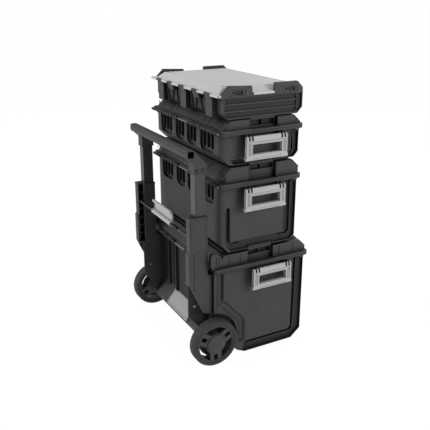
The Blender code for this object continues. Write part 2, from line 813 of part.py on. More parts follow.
def add_catch_bars(shop, tub, unit):
    """Bars low on both sides that the latches of the unit below hook over."""
    inner = CHANNEL_PLANE - EMBED
    outer = CHANNEL_PLANE + BAR_THICKNESS
    near = LID_HALF_WIDTH - NOTCH_DEPTH + RUNNING_GAP
    bar = [
        (inner, unit.floor + EMBED),
        (inner, unit.floor + BAR_RISE),
        (outer, unit.floor + BAR_RISE),
        (outer, unit.floor - BAR_DROP),
        (near, unit.floor - BAR_DROP),
        (near, unit.floor + EMBED),
    ]
    for side in (1, -1):
        points = [(side * x, z) for x, z in bar]
        join(tub, outline(
            shop, f"{tub.name}_bar_{side}", points, "Y",
            NOTCH_CENTRE - BAR_LENGTH / 2, NOTCH_CENTRE + BAR_LENGTH / 2,
        ))


def cut_rear_pockets(shop, tub, unit, rear):
    """Round-bottomed pockets in the rear wall, under the hinge."""
    low = unit.parting - POCKET_DROP
    top = unit.rim_low - EMBED
    for index, (near, far) in enumerate(POCKET_SPANS):
        for side in (1, -1):
            left, right = sorted((side * near, side * far))
            round_left = arc(
                (left + POCKET_ROUND, low + POCKET_ROUND), POCKET_ROUND,
                math.pi, 1.5 * math.pi, POCKET_STEPS,
            )
            round_right = arc(
                (right - POCKET_ROUND, low + POCKET_ROUND), POCKET_ROUND,
                1.5 * math.pi, 2 * math.pi, POCKET_STEPS,
            )
            points = [*round_left, *round_right, (right, top), (left, top)]
            cut(tub, outline(
                shop, f"{tub.name}_pocket_{index}_{side}", points, "Y",
                rear - POCKET_DEPTH, rear + OVERRUN,
            ))


def box_profile(unit):
    """Side view of a medium or small box body."""
    front = BOX_FRONT_WALL
    rear = BOX_REAR_WALL
    top = unit.parting + OVERRUN
    return [
        (-front, unit.floor + BOX_BOTTOM_CHAMFER),
        (-front + BOX_BOTTOM_CHAMFER, unit.floor),
        (rear - BOX_REAR_CHAMFER, unit.floor),
        (rear, unit.floor + BOX_REAR_CHAMFER),
        (rear, top),
        (-front, top),
    ]


def box_cavity_profile(unit):
    """Side view of the hollow, which steps in behind the rear pockets."""
    floor = unit.floor + WALL
    front = BOX_FRONT_WALL - WALL
    rear = BOX_REAR_WALL - WALL
    behind = rear - POCKET_DEPTH
    chamfer = inner_leg(BOX_BOTTOM_CHAMFER, WALL)
    rear_chamfer = inner_leg(BOX_REAR_CHAMFER, WALL)
    step = unit.parting - POCKET_DROP - WALL
    top = unit.parting + OVERRUN * 2
    points = [
        (-front, floor + chamfer),
        (-front + chamfer, floor),
        (rear - rear_chamfer, floor),
    ]
    if step > floor + rear_chamfer:
        points += [(rear, floor + rear_chamfer), (rear, step), (behind, step)]
    else:
        points += [(behind, floor + rear_chamfer - POCKET_DEPTH)]
    return [*points, (behind, top), (-front, top)]


def box_channel(unit, panel_low, rear_edge, rear_top=None):
    """Channel round the side panel of a medium or small box, seen along X."""
    flange = unit.floor + CHANNEL_FLANGE
    low = unit.floor + panel_low
    top = unit.rim_low - CHANNEL_TOP_GAP
    near = BOX_FRONT_WALL - CHANNEL_FLANGE
    chamfer = inner_leg(BOX_BOTTOM_CHAMFER, CHANNEL_FLANGE)
    points = [
        (chamfer - near, flange),
        (-near, flange + chamfer),
        (-near, top),
        (-PANEL_FRONT, top),
        (-PANEL_FRONT, low + PANEL_CORNER),
        (PANEL_CORNER - PANEL_FRONT, low),
    ]
    if rear_top is None:
        return [*points, (rear_edge, low), (rear_edge - low + flange, flange)]
    inner = rear_edge - CHANNEL_WIDTH
    return [
        *points,
        (inner - PANEL_CORNER / 2, low),
        (inner, low + PANEL_CORNER / 2),
        (inner, rear_top),
        (rear_edge, rear_top),
        (rear_edge, flange + CHANNEL_CORNER),
        (rear_edge - CHANNEL_CORNER, flange),
    ]


def make_box(shop, name, unit, channel):
    """Body of the medium or the small box, with its seat bars, pockets, ears and barrels."""
    rim_plan = cropped_rectangle(
        RIM_HALF_WIDTH, BOX_RIM_HALF_DEPTH, BOX_RIM_HALF_DEPTH, RIM_CORNER
    )
    tub, cavity = make_tub(
        shop, name, unit,
        tub_plan(WALL_HALF_WIDTH, BOX_FRONT_WALL, BOX_REAR_WALL, 0),
        box_profile(unit),
        tub_plan(CAVITY_HALF_WIDTH, BOX_FRONT_WALL, BOX_REAR_WALL, WALL),
        box_cavity_profile(unit),
        rim_plan,
    )
    cut_channels(shop, tub, [(channel, CHANNEL_DEPTH)])
    add_catch_bars(shop, tub, unit)
    cut_rear_pockets(shop, tub, unit, BOX_REAR_WALL)
    add_side_lugs(shop, tub, unit, LATCH_CENTRE)
    add_front_lugs(
        shop, tub, BOX_FRONT_WALL, BOX_FRONT_WALL + HANDLE_STAND,
        unit.parting - HANDLE_PIN_DROP, (0,), HANDLE_LUG_PLACE,
    )
    add_knuckles(shop, tub, unit, BOX_RIM_HALF_DEPTH, HINGE_Y, COMB_END, False)
    cut(tub, cavity)
    shop.keep(tub, "plastic")
    make_rod(shop, name.replace("body", "hinge_rod"), COMB_END, (HINGE_Y, unit.parting))


class LidSizes:
    """Depths of a lid and its rim, and how it carries the unit above."""

    def __init__(self, front, rear, rear_top, rim_front, rim_rear, stop=False):
        self.front = front
        self.rear = rear
        self.rear_top = rear_top
        self.rim_front = rim_front
        self.rim_rear = rim_rear
        self.stop = stop


BOX_LID = LidSizes(
    BOX_FRONT_WALL, BOX_REAR_WALL, LID_REAR_TOP, BOX_RIM_HALF_DEPTH, BOX_RIM_HALF_DEPTH
)
BIN_LID = LidSizes(
    BIN_FRONT_WALL, BIN_REAR_WALL, BIN_LID_REAR_TOP, BIN_RIM_FRONT, BIN_RIM_REAR, True
)


def lid_profile(unit, sizes, shrink):
    """Side view of a lid, or of its cavity."""
    drop = min(LID_REAR_SLOPE, unit.edge - unit.rim_top)
    slope = inner_leg(drop, shrink)
    chamfer = inner_leg(LID_FRONT_CHAMFER, shrink)
    front = sizes.front - shrink
    top = unit.edge - shrink
    low = unit.parting - OVERRUN * 2
    end = min(sizes.rear - shrink, sizes.rear_top + slope)
    return [
        (-front, low),
        (-front, top - chamfer),
        (chamfer - front, top),
        (sizes.rear_top, top),
        (end, top + sizes.rear_top - end),
        (end, low),
    ]


def lid_plan(sizes, shrink):
    """Plan of a lid, or of its cavity with longer chamfers at the front corners."""
    deep = inner_leg(LID_CAVITY_CORNER, shrink) if shrink else FRONT_CORNER
    back = inner_leg(LID_REAR_CORNER, shrink)
    front = sizes.front - shrink
    rear = sizes.rear - shrink
    half = LID_HALF_WIDTH - shrink
    return mirrored(
        [
            (half - deep, -front),
            (half, deep - front),
            (half, rear - back),
            (half - back, rear),
        ]
    )


def plateau_plan(sizes, shrink):
    """Plan of the raised seat on a lid, or of the hollow under it."""
    front = sizes.front - LID_FRONT_CHAMFER - PLATEAU_INSET
    if sizes.stop:
        front = BOX_FRONT_WALL + EMBED
    return cropped_rectangle(
        PLATEAU_HALF_WIDTH - shrink,
        front - shrink,
        sizes.rear_top - PLATEAU_INSET - shrink,
        PLATEAU_INSET,
    )


def make_lid(shop, name, unit, sizes):
    """Hollow lid with a raised seat, side notches for the unit above, and a seal groove."""
    bottom = unit.parting + CLEARANCE / 2
    reach = RIM_HALF_WIDTH
    lid = outline(shop, name, lid_plan(sizes, 0), "Z", bottom, unit.edge + OVERRUN)
    trim(lid, outline(
        shop, f"{name}_profile", lid_profile(unit, sizes, 0), "X", -reach, reach
    ))
    rim_plan = cropped_rectangle(reach, sizes.rim_front, sizes.rim_rear, RIM_CORNER)
    join(lid, outline(shop, f"{name}_flange", rim_plan, "Z", bottom, unit.rim_top))
    join(lid, outline(
        shop, f"{name}_plateau", plateau_plan(sizes, 0), "Z", unit.edge - EMBED, unit.seat
    ))
    if sizes.stop:
        add_bin_stop(shop, lid, unit, sizes.front)
    cavity = outline(
        shop, f"{name}_cavity", lid_plan(sizes, WALL), "Z", bottom - OVERRUN, unit.edge
    )
    trim(cavity, outline(
        shop, f"{name}_cavity_profile", lid_profile(unit, sizes, WALL), "X", -reach, reach
    ))
    join(cavity, outline(
        shop, f"{name}_cavity_seat", plateau_plan(sizes, WALL), "Z",
        unit.edge - WALL - EMBED, max(unit.seat, unit.edge + EMBED) - WALL,
    ))
    cut_notches(shop, lid, cavity, unit)
    cut(lid, cavity)
    cut(lid, seal_ring(
        shop, f"{name}_groove", sizes, 0, unit.parting - OVERRUN, unit.parting + SEAL_DEPTH
    ))
    return lid


def add_bin_stop(shop, lid, unit, front):
    """Raised ridge across the front of the bin lid that keeps the box above in place."""
    face = BOX_FRONT_WALL + CLEARANCE
    crest = unit.edge + BIN_STOP_RISE
    points = [
        (-face, unit.edge - EMBED),
        (-face, crest),
        (-face - BIN_STOP_LENGTH, crest),
        (EMBED - front, unit.edge - LID_FRONT_CHAMFER - EMBED),
    ]
    ridge = outline(
        shop, f"{lid.name}_stop", points, "X", -PLATEAU_HALF_WIDTH, PLATEAU_HALF_WIDTH
    )
    outer = PLATEAU_HALF_WIDTH + OVERRUN
    ends = [
        (outer, unit.edge - LID_FRONT_CHAMFER - OVERRUN),
        (outer, unit.edge - OVERRUN),
        (outer - BIN_STOP_RISE - OVERRUN, crest),
        (outer - BIN_STOP_RISE - OVERRUN, crest + OVERRUN),
    ]
    trim(ridge, outline(shop, f"{lid.name}_stop_ends", mirrored(ends), "Y", -front, 0))
    join(lid, ridge)


def cut_notches(shop, lid, cavity, unit):
    """Side notches with two dark windows each, and a wall behind them in the cavity."""
    near = LID_HALF_WIDTH - NOTCH_DEPTH
    deep = near - WINDOW_DEPTH
    low = NOTCH_CENTRE - NOTCH_LENGTH / 2
    high = NOTCH_CENTRE + NOTCH_LENGTH / 2
    top = unit.seat + OVERRUN
    bottom = unit.rim_top - EMBED
    window_top = unit.seat - BAR_DROP
    window_low = max(window_top - WINDOW_HEIGHT, unit.rim_top + WALL)
    divider = WINDOW_DIVIDER / 2
    spans = (
        (low + WINDOW_INSET, NOTCH_CENTRE - divider),
        (NOTCH_CENTRE + divider, high - WINDOW_INSET),
    )
    for side in (1, -1):
        start, end = sorted((side * near, side * (RIM_HALF_WIDTH + OVERRUN)))
        cut(lid, block(
            shop, f"{lid.name}_notch_{side}", (start, low, bottom), (end, high, top)
        ))
        start, end = sorted((side * deep, side * LID_HALF_WIDTH))
        for index, (left, right) in enumerate(spans):
            cut(lid, block(
                shop, f"{lid.name}_window_{side}_{index}",
                (start, left, window_low), (end, right, window_top),
            ))
        start, end = sorted((side * (deep - WALL), side * RIM_HALF_WIDTH))
        cut(cavity, block(
            shop, f"{lid.name}_backing_{side}",
            (start, low - WALL, bottom - WALL), (end, high + WALL, top),
        ))


def seal_ring(shop, name, sizes, play, low, high):
    """Ring that runs midway between the cavity of a lid and the edge of its rim."""
    half = (LID_HALF_WIDTH - WALL + RIM_HALF_WIDTH) / 2
    front = (sizes.front - WALL + sizes.rim_front) / 2
    rear = (sizes.rear - WALL + sizes.rim_rear) / 2
    corner = (RIM_CORNER + LID_REAR_CORNER) / 2
    grow = SEAL_WIDTH / 2 - play
    outer = cropped_rectangle(half + grow, front + grow, rear + grow, corner)
    inner = cropped_rectangle(half - grow, front - grow, rear - grow, corner)
    return outline(shop, name, outer, "Z", low, high, holes=(inner,))


def make_seal(shop, name, unit, sizes):
    """Square rubber seal that sits in the groove of a lid."""
    seal = seal_ring(
        shop, name, sizes, CLEARANCE, unit.parting + CLEARANCE / 2,
        unit.parting + SEAL_DEPTH - CLEARANCE,
    )
    shop.keep(seal, "rubber")


def finish_lid(shop, lid, unit, sizes, pin_y, comb_end):
    """Barrels, latch ears and pins of a lid."""
    name = lid.name
    add_knuckles(shop, lid, unit, sizes.rim_rear, pin_y, comb_end, True)
    latch_y = sizes.rim_front + LATCH_STAND
    latch_z = unit.parting + RIM_BAND / 2
    centres = (-FRONT_LATCH_CENTRE, FRONT_LATCH_CENTRE)
    add_front_lugs(
        shop, lid, sizes.rim_front, latch_y, latch_z, centres, FRONT_LUG_PLACE
    )
    shop.keep(lid, "plastic")
    make_seal(shop, f"{name}_seal", unit, sizes)


def bin_profile():
    """Side view of the bin body, with the slanted skid that clears the floor when tilted."""
    top = BIN.parting + OVERRUN
    rear = BIN_REAR_WALL - BIN_REAR_RECESS
    return [
        (-BIN_FRONT_WALL, BIN_FRONT_CHAMFER_RISE),
        (BIN_FRONT_CHAMFER_RUN - BIN_FRONT_WALL, BIN.floor),
        (BIN_BOTTOM_REAR, BIN.floor),
        (BEAM_REAR, BEAM_LOW),
        (BEAM_REAR, BEAM_LOW + BEAM_LIP),
        (rear, beam_top(rear)),
        (rear, top),
        (-BIN_FRONT_WALL, top),
    ]


def beam_top(y):
    """Height of the sloped top of the rear beam."""
    inner = BIN_REAR_WALL - BIN_REAR_RECESS
    slope = BEAM_RISE / (BEAM_REAR - inner)
    return BEAM_LOW + BEAM_LIP + (BEAM_REAR - y) * slope


def beam_low(y):
    """Height of the slanted underside of the bin behind its flat bottom."""
    return BEAM_LOW * (y - BIN_BOTTOM_REAR) / (BEAM_REAR - BIN_BOTTOM_REAR)


def bin_cavity_profile():
    """Side view of the hollow of the bin."""
    front = BIN_FRONT_WALL - WALL
    rear = BIN_REAR_WALL - BIN_REAR_RECESS - WALL
    top = BIN.parting + OVERRUN * 2
    return [
        (-front, BIN_FRONT_CHAMFER_RISE + BIN_CHAMFER_INSET),
        (BIN_FRONT_CHAMFER_RUN - BIN_FRONT_WALL + BIN_CHAMFER_INSET, WALL),
        (BIN_BOTTOM_REAR, WALL),
        (rear, beam_low(rear) + BIN_SKID_WALL),
        (rear, top),
        (-front, top),
    ]


def wheel_well(shop, name, grow):
    """Space round both wheels, made larger for the cavity that has to stay clear of it."""
    radius = WELL_RADIUS + grow
    top = WHEEL_RADIUS
    round_part = arc((WHEEL_Y, top), radius, 0, math.pi, WELL_STEPS)
    points = [*round_part, (WHEEL_Y - radius, -OVERRUN), (WHEEL_Y + radius, -OVERRUN)]
    wells = []
    for side in (1, -1):
        start, end = sorted((side * (WELL_INNER - grow), side * (RIM_HALF_WIDTH + OVERRUN)))
        wells.append(outline(shop, f"{name}_{side}", points, "X", start, end))
    return wells


def bin_channels():
    """Sunk areas of the bin side, seen along X, each with its depth."""
    near = BIN_FRONT_WALL - CHANNEL_FLANGE
    chamfer_foot = BIN_FRONT_CHAMFER_RUN - BIN_FRONT_WALL + BIN_CHAMFER_INSET
    top = BIN.rim_low - CHANNEL_TOP_GAP
    front = [
        (BIN_BOTTOM_REAR, CHANNEL_FLANGE),
        (BIN_PANEL_REAR, CHANNEL_FLANGE + beam_low(BIN_PANEL_REAR)),
        (BIN_PANEL_REAR, BIN_PANEL_LOW),
        (PANEL_CORNER - BIN_PANEL_FRONT, BIN_PANEL_LOW),
        (-BIN_PANEL_FRONT, BIN_PANEL_LOW + PANEL_CORNER),
        (-BIN_PANEL_FRONT, top),
        (-near, top),
        (-near, BIN_FRONT_CHAMFER_RISE + BIN_CHAMFER_INSET),
        (chamfer_foot, CHANNEL_FLANGE),
    ]
    step_rear = BIN_PANEL_REAR + BIN_STEP_WIDTH
    elbow = BIN_ELBOW
    lower = [
        (BIN_PANEL_REAR, BIN_PANEL_LOW + PANEL_CORNER),
        (BIN_PANEL_REAR, elbow - BIN_ELBOW_DROP),
        (BIN_STRIP_REAR - BIN_STRIP_WIDTH, elbow),
        (BIN_STRIP_REAR, elbow - BIN_STEP_WIDTH),
        (step_rear, elbow - BIN_ELBOW_DROP - BIN_STEP_WIDTH),
        (step_rear, BIN_PANEL_LOW),
    ]
    strip = [
        (BIN_STRIP_REAR - BIN_STRIP_WIDTH, elbow - BIN_STEP_WIDTH),
        (BIN_STRIP_REAR - BIN_STRIP_WIDTH, top),
        (BIN_STRIP_REAR, top),
        (BIN_STRIP_REAR, elbow - BIN_STEP_WIDTH),
    ]
    return [
        (front, CHANNEL_DEPTH),
        (lower, BIN_STEP_DEPTH),
        (strip, CHANNEL_DEPTH - BIN_STEP_DEPTH),
    ]


def make_bin(shop):
    """Wheeled bin: the root of the stack."""
    rim_plan = cropped_rectangle(RIM_HALF_WIDTH, BIN_RIM_FRONT, BIN_RIM_REAR, RIM_CORNER)
    rear = BIN_REAR_WALL - BIN_REAR_RECESS
    tub, cavity = make_tub(
        shop, "bin_body", BIN,
        tub_plan(WALL_HALF_WIDTH, BIN_FRONT_WALL, BEAM_REAR, 0),
        bin_profile(),
        tub_plan(CAVITY_HALF_WIDTH, BIN_FRONT_WALL, rear, WALL),
        bin_cavity_profile(),
        rim_plan,
    )
    ceiling = BIN.rim_low - BIN_REAR_RECESS
    foot = beam_top(BIN_REAR_WALL) - OVERRUN
    frame = [
        (BIN_RECESS_HALF_WIDTH, ceiling),
        (BIN_RECESS_HALF_WIDTH, foot),
        (WALL_HALF_WIDTH, foot),
        (WALL_HALF_WIDTH, BIN.parting - RIM_BAND / 2),
    ]
    join(tub, outline(
        shop, "rear_frame", mirrored(frame), "Y", rear - EMBED, BIN_REAR_WALL
    ))
    cut(tub, *wheel_well(shop, "well", 0))
    cut(cavity, *wheel_well(shop, "well_wall", WALL))
    cut_channels(shop, tub, bin_channels())
    rib_low = beam_top(rear) + KICK_THICKNESS + RUNNING_GAP
    for place in BIN_RIB_PLACES:
        for side in (1, -1):
            middle = side * place
            join(tub, block(
                shop, f"rear_rib_{middle:.3f}",
                (middle - BIN_RIB_THICKNESS / 2, rear - EMBED, rib_low),
                (middle + BIN_RIB_THICKNESS / 2, BIN_REAR_WALL - EMBED, ceiling + EMBED),
            ))
    cut_beam(shop, tub)
    add_side_lugs(shop, tub, BIN, BIN_LATCH_CENTRE)
    add_knuckles(shop, tub, BIN, BIN_RIM_REAR, BIN_HINGE_Y, BIN_COMB_END, False)
    cut(tub, cavity)
    shop.keep(tub, "plastic")
    make_rod(shop, "bin_hinge_rod", BIN_COMB_END, (BIN_HINGE_Y, BIN.parting))


def cut_beam(shop, tub):
    """Hollow of the rear beam, open below, the bores of the axle and the kick plate seat."""
    front = BIN_REAR_WALL - BIN_REAR_RECESS + BEAM_WALL
    rear = BEAM_REAR - BEAM_WALL
    half = BEAM_HALF_WIDTH - BEAM_WALL
    hollow = [
        (front, -OVERRUN),
        (front, beam_top(front) - BEAM_TOP_WALL),
        (rear, beam_top(rear) - BEAM_TOP_WALL),
        (rear, -OVERRUN),
    ]
    cut(tub, outline(shop, "beam_hollow", hollow, "X", -half, half))
    for side in (1, -1):
        start, end = sorted((side * BEAM_HALF_WIDTH, side * (RIM_HALF_WIDTH + OVERRUN)))
        cut(tub, block(
            shop, f"beam_end_{side}",
            (start, BIN_REAR_WALL, -OVERRUN), (end, BEAM_REAR + OVERRUN, POST_SHOULDER),
        ))
    cut(tub, cylinder(
        shop, "axle_bore", AXLE_RADIUS + CLEARANCE, "X", -RIM_HALF_WIDTH, RIM_HALF_WIDTH,
        (WHEEL_Y, WHEEL_RADIUS), AXLE_SIDES,
    ))


def make_kick_plate(shop):
    """Pale plate that lies on the slope of the rear beam."""
    front = BIN_REAR_WALL - BIN_REAR_RECESS + CLEARANCE
    rear = BEAM_REAR
    low_rear = beam_top(rear) + KICK_GAP
    low_front = beam_top(front) + KICK_GAP
    points = [
        (front, low_front),
        (rear, low_rear),
        (rear + KICK_THICKNESS, low_rear),
        (rear + KICK_THICKNESS, low_rear + KICK_THICKNESS / 2),
        (front + KICK_THICKNESS / 2, low_front + KICK_THICKNESS),
        (front, low_front + KICK_THICKNESS),
    ]
    plate = outline(
        shop, "kick_plate", points, "X", -KICK_HALF_WIDTH, KICK_HALF_WIDTH
    )
    shop.keep(plate, "kick")


def make_bin_lid(shop):
    """Lid of the bin, with a rounded ear at each rear corner."""
    lid = make_lid(shop, "bin_lid", BIN, BIN_LID)
    crest = BIN.edge + BIN_EAR_RISE
    rear = BIN_RIM_REAR + BIN_EAR_REACH
    points = [
        (rear - BIN_EAR_LENGTH, BIN.rim_top - EMBED),
        (rear - BIN_EAR_LENGTH, BIN.edge),
        (rear - BIN_EAR_LENGTH / 2, crest),
        (rear - BIN_EAR_ROUND, crest),
        (rear, crest - BIN_EAR_ROUND),
        (rear, BIN.rim_top + BIN_EAR_ROUND),
        (rear - BIN_EAR_ROUND, BIN.rim_top - EMBED),
    ]
    for side in (1, -1):
        start, end = sorted((side * (POST_OUTER + BIN_EAR_GAP), side * LID_HALF_WIDTH))
        join(lid, outline(shop, f"bin_ear_{side}", points, "X", start, end))
    finish_lid(shop, lid, BIN, BIN_LID, BIN_HINGE_Y, BIN_COMB_END)


def make_organizer(shop):
    """Flat tray with sunk side panels, corner guards, rear posts and hinge barrels."""
    unit = ORGANIZER
    base = organizer_shell(shop)
    add_organizer_guards(shop, base)
    for low, high, foot in organizer_post_spans():
        tag = f"{low:.3f}"
        join(base, block(
            shop, f"post_{tag}",
            (low, ORGANIZER_REAR - EMBED, foot),
            (high, ORGANIZER_POST_REAR, unit.parting - CLEARANCE / 2),
        ))
        pin_z = unit.parting + ORGANIZER_PIN_RISE
        join(base, block(
            shop, f"post_neck_{tag}",
            (low, ORGANIZER_POST_REAR - ORGANIZER_KNUCKLE, unit.parting - ORGANIZER_POST_NECK),
            (high, ORGANIZER_PIN_Y, pin_z),
        ))
        join(base, cylinder(
            shop, f"post_barrel_{tag}", ORGANIZER_KNUCKLE, "X", low, high,
            (ORGANIZER_PIN_Y, pin_z), KNUCKLE_SIDES,
        ))
    reach = ORGANIZER_POSTS[0][1] + OVERRUN
    cut(base, cylinder(
        shop, "organizer_bore", PIN_RADIUS + CLEARANCE, "X", -reach, reach,
        (ORGANIZER_PIN_Y, unit.parting + ORGANIZER_PIN_RISE),
    ))
    handle_y = ORGANIZER_FRONT + HANDLE_STAND
    handle_z = unit.parting - ORGANIZER_HANDLE_DROP
    add_front_lugs(
        shop, base, ORGANIZER_FRONT, handle_y, handle_z, (0,), HANDLE_LUG_PLACE
    )
    cut(base, organizer_cavity(shop))
    shop.keep(base, "plastic")
    make_rod(
        shop, "organizer_hinge_rod", ORGANIZER_POSTS[0][1],
        (ORGANIZER_PIN_Y, unit.parting + ORGANIZER_PIN_RISE),
    )
    make_dividers(shop)


def organizer_post_spans():
    """X spans of the rear posts with the heights of their feet, from left to right."""
    foot = ORGANIZER.floor + ORGANIZER_RIB
    tab_foot = ORGANIZER.parting - ORGANIZER_TAB_HEIGHT
    post, tab = ORGANIZER_POSTS
    right = [(*tab, tab_foot), (*post, foot)]
    left = [(-high, -low, base) for low, high, base in reversed(right)]
    return [*left, (-ORGANIZER_BLOCK, ORGANIZER_BLOCK, foot), *right]


def organizer_shell(shop):
    """Outer form of the tray."""
    unit = ORGANIZER
    half = ORGANIZER_HALF_WIDTH
    corner = ORGANIZER_CHAMFER
    top = unit.parting - CLEARANCE / 2
    plan = mirrored([
        (half - corner, -ORGANIZER_FRONT),
        (half, corner - ORGANIZER_FRONT),
        (half, ORGANIZER_REAR),
    ])
    base = outline(shop, "organizer_base", plan, "Z", unit.floor - OVERRUN, top)
    profile = [
        (-ORGANIZER_FRONT, unit.floor + corner),
        (corner - ORGANIZER_FRONT, unit.floor),
        (ORGANIZER_REAR - ORGANIZER_FOOT_CHAMFER, unit.floor),
        (ORGANIZER_REAR, unit.floor + ORGANIZER_FOOT_CHAMFER),
        (ORGANIZER_REAR, top + OVERRUN),
        (-ORGANIZER_FRONT, top + OVERRUN),
    ]
    trim(base, outline(shop, "organizer_profile", profile, "X", -half, half))
    ribs = ORGANIZER_RIB * (ORGANIZER_GROOVE_COUNT + 1)
    groove = (unit.parting - unit.floor - ribs) / ORGANIZER_GROOVE_COUNT
    for index in range(ORGANIZER_GROOVE_COUNT):
        low = unit.floor + ORGANIZER_RIB + index * (groove + ORGANIZER_RIB)
        for side in (1, -1):
            start, end = sorted((side * (half - ORGANIZER_GROOVE), side * (half + OVERRUN)))
            cut(base, block(
                shop, f"organizer_groove_{index}_{side}",
                (start, ORGANIZER_GROOVE_FRONT, low),
                (end, ORGANIZER_REAR - ORGANIZER_RIB, low + groove),
            ))
    add_catch_bars(shop, base, unit)
    return base


def organizer_cavity(shop):
    """Hollow of the tray."""
    unit = ORGANIZER
    wall = WALL + ORGANIZER_GROOVE
    corner = ORGANIZER_CHAMFER
    half = ORGANIZER_HALF_WIDTH - wall
    front = ORGANIZER_FRONT - WALL
    rear = ORGANIZER_REAR - WALL
    floor = unit.floor + WALL
    top = unit.parting + OVERRUN
    plan = mirrored([(half - corner, -front), (half, corner - front), (half, rear)])
    cavity = outline(shop, "organizer_cavity", plan, "Z", floor, top)
    leg = inner_leg(corner, WALL)
    foot = inner_leg(ORGANIZER_FOOT_CHAMFER, WALL)
    profile = [
        (-front, floor + leg),
        (leg - front, floor),
        (rear - foot, floor),
        (rear, floor + foot),
        (rear, top + OVERRUN),
        (-front, top + OVERRUN),
    ]
    trim(cavity, outline(shop, "organizer_cavity_profile", profile, "X", -half, half))
    return cavity


def add_organizer_guards(shop, base):
    """Four corner guards that rise beside the lid."""
    low = ORGANIZER.parting - ORGANIZER_RIB
    top = ORGANIZER.parting + GUARD_RISE
    near, far = GUARD_REAR_SPAN
    step = GUARD_STEP
    rear = [
        (near, low),
        (near, top - GUARD_CHAMFER + step),
        (near + step / 2, top - step),
        (far - GUARD_CHAMFER, top),
        (far, top - GUARD_CHAMFER),
        (far, low),
    ]
    near, far = GUARD_FRONT_SPAN
    front = [
        (far, low),
        (far, top),
        (near + GUARD_FRONT_CHAMFER, top),
        (near, top - GUARD_FRONT_CHAMFER),
        (near, low),
    ]
    for side in (1, -1):
        outer = side * ORGANIZER_HALF_WIDTH
        start, end = sorted((outer, outer - side * GUARD_THICKNESS))
        join(
            base,
            outline(shop, f"guard_rear_{side}", rear, "X", start, end),
            outline(shop, f"guard_front_{side}", front, "X", start, end),
        )


def make_dividers(shop):
    """Cross-shaped partition that stands in the tray."""
    floor = ORGANIZER.floor + WALL + CLEARANCE
    half = ORGANIZER_HALF_WIDTH - WALL - ORGANIZER_GROOVE - DIVIDER_GAP
    rear = ORGANIZER_REAR - WALL - ORGANIZER_FOOT_CHAMFER
    front = ORGANIZER_FRONT - WALL - ORGANIZER_CHAMFER
    middle = (rear - front) / 2
    thin = DIVIDER_THICKNESS / 2
    grid = block(
        shop, "organizer_dividers", (-half, middle - thin, floor),
        (half, middle + thin, floor + DIVIDER_HEIGHT),
    )
    for share in DIVIDER_PLACES_SHARE:
        place = share * half
        join(grid, block(
            shop, f"divider_{share:.2f}", (place - thin, -front, floor),
            (place + thin, rear, floor + DIVIDER_HEIGHT),
        ))
    shop.keep(grid, "dark")


def organizer_lid_plate(shop, low, edge):
    """Flat plate of the lid: narrow beside the corner guards, wide between and behind them."""
    half = ORGANIZER_LID_HALF_WIDTH
    narrow = ORGANIZER_HALF_WIDTH - GUARD_THICKNESS - RUNNING_GAP
    wide = ORGANIZER_HALF_WIDTH - CLEARANCE
    front = ORGANIZER_FRONT
    corner = ORGANIZER_LID_BORDER
    plan = [
        (narrow - corner, -front),
        (narrow, corner - front),
        (narrow, ORGANIZER_LID_REAR - ORGANIZER_KNUCKLE),
        (narrow - ORGANIZER_KNUCKLE, ORGANIZER_LID_REAR),
    ]
    strip = [
        (half, GUARD_REAR_SPAN[1] + LID_REAR_GAP),
        (half, ORGANIZER_PIN_Y - ORGANIZER_KNUCKLE),
        (half - ORGANIZER_KNUCKLE, ORGANIZER_LID_REAR),
    ]
    plate = outline(shop, "organizer_lid", mirrored(plan), "Z", low, edge)
    join(
        plate,
        block(
            shop, "lid_between_guards",
            (-wide, GUARD_FRONT_SPAN[1] + RUNNING_GAP, low),
            (wide, GUARD_REAR_SPAN[0] - LID_SWING_GAP, edge),
        ),
        outline(shop, "lid_rear_strip", mirrored(strip), "Z", low, edge),
    )
    return plate


def make_organizer_lid(shop):
    """Pale lid with a raised middle, hinged on the rear posts."""
    unit = ORGANIZER
    low = unit.parting + CLEARANCE / 2
    edge = unit.parting + ORGANIZER_LID_EDGE
    lid = organizer_lid_plate(shop, low, edge)
    join(lid, raised_middle(shop, "lid_middle", low + EMBED, edge, unit.edge, 0))
    cut(lid, raised_middle(
        shop, "lid_hollow", low - OVERRUN, edge, unit.edge, ORGANIZER_LID_WALL
    ))
    pin_z = unit.parting + ORGANIZER_PIN_RISE
    for left, right, _ in organizer_post_spans():
        cut(lid, block(
            shop, f"lid_gap_{left:.3f}",
            (left - RUNNING_GAP, ORGANIZER_PIN_Y - ORGANIZER_LID_NECK, low - OVERRUN),
            (right + RUNNING_GAP, ORGANIZER_LID_REAR + OVERRUN, edge + OVERRUN),
        ))
    reach = ORGANIZER_LID_HALF_WIDTH + OVERRUN
    cut(lid, cylinder(
        shop, "lid_bore", PIN_RADIUS + CLEARANCE, "X", -reach, reach,
        (ORGANIZER_PIN_Y, pin_z),
    ))
    latch_y = ORGANIZER_FRONT + LATCH_STAND
    centres = (-FRONT_LATCH_CENTRE, FRONT_LATCH_CENTRE)
    add_front_lugs(shop, lid, ORGANIZER_FRONT, latch_y, pin_z, centres, FRONT_LUG_PLACE)
    shop.keep(lid, "lid")


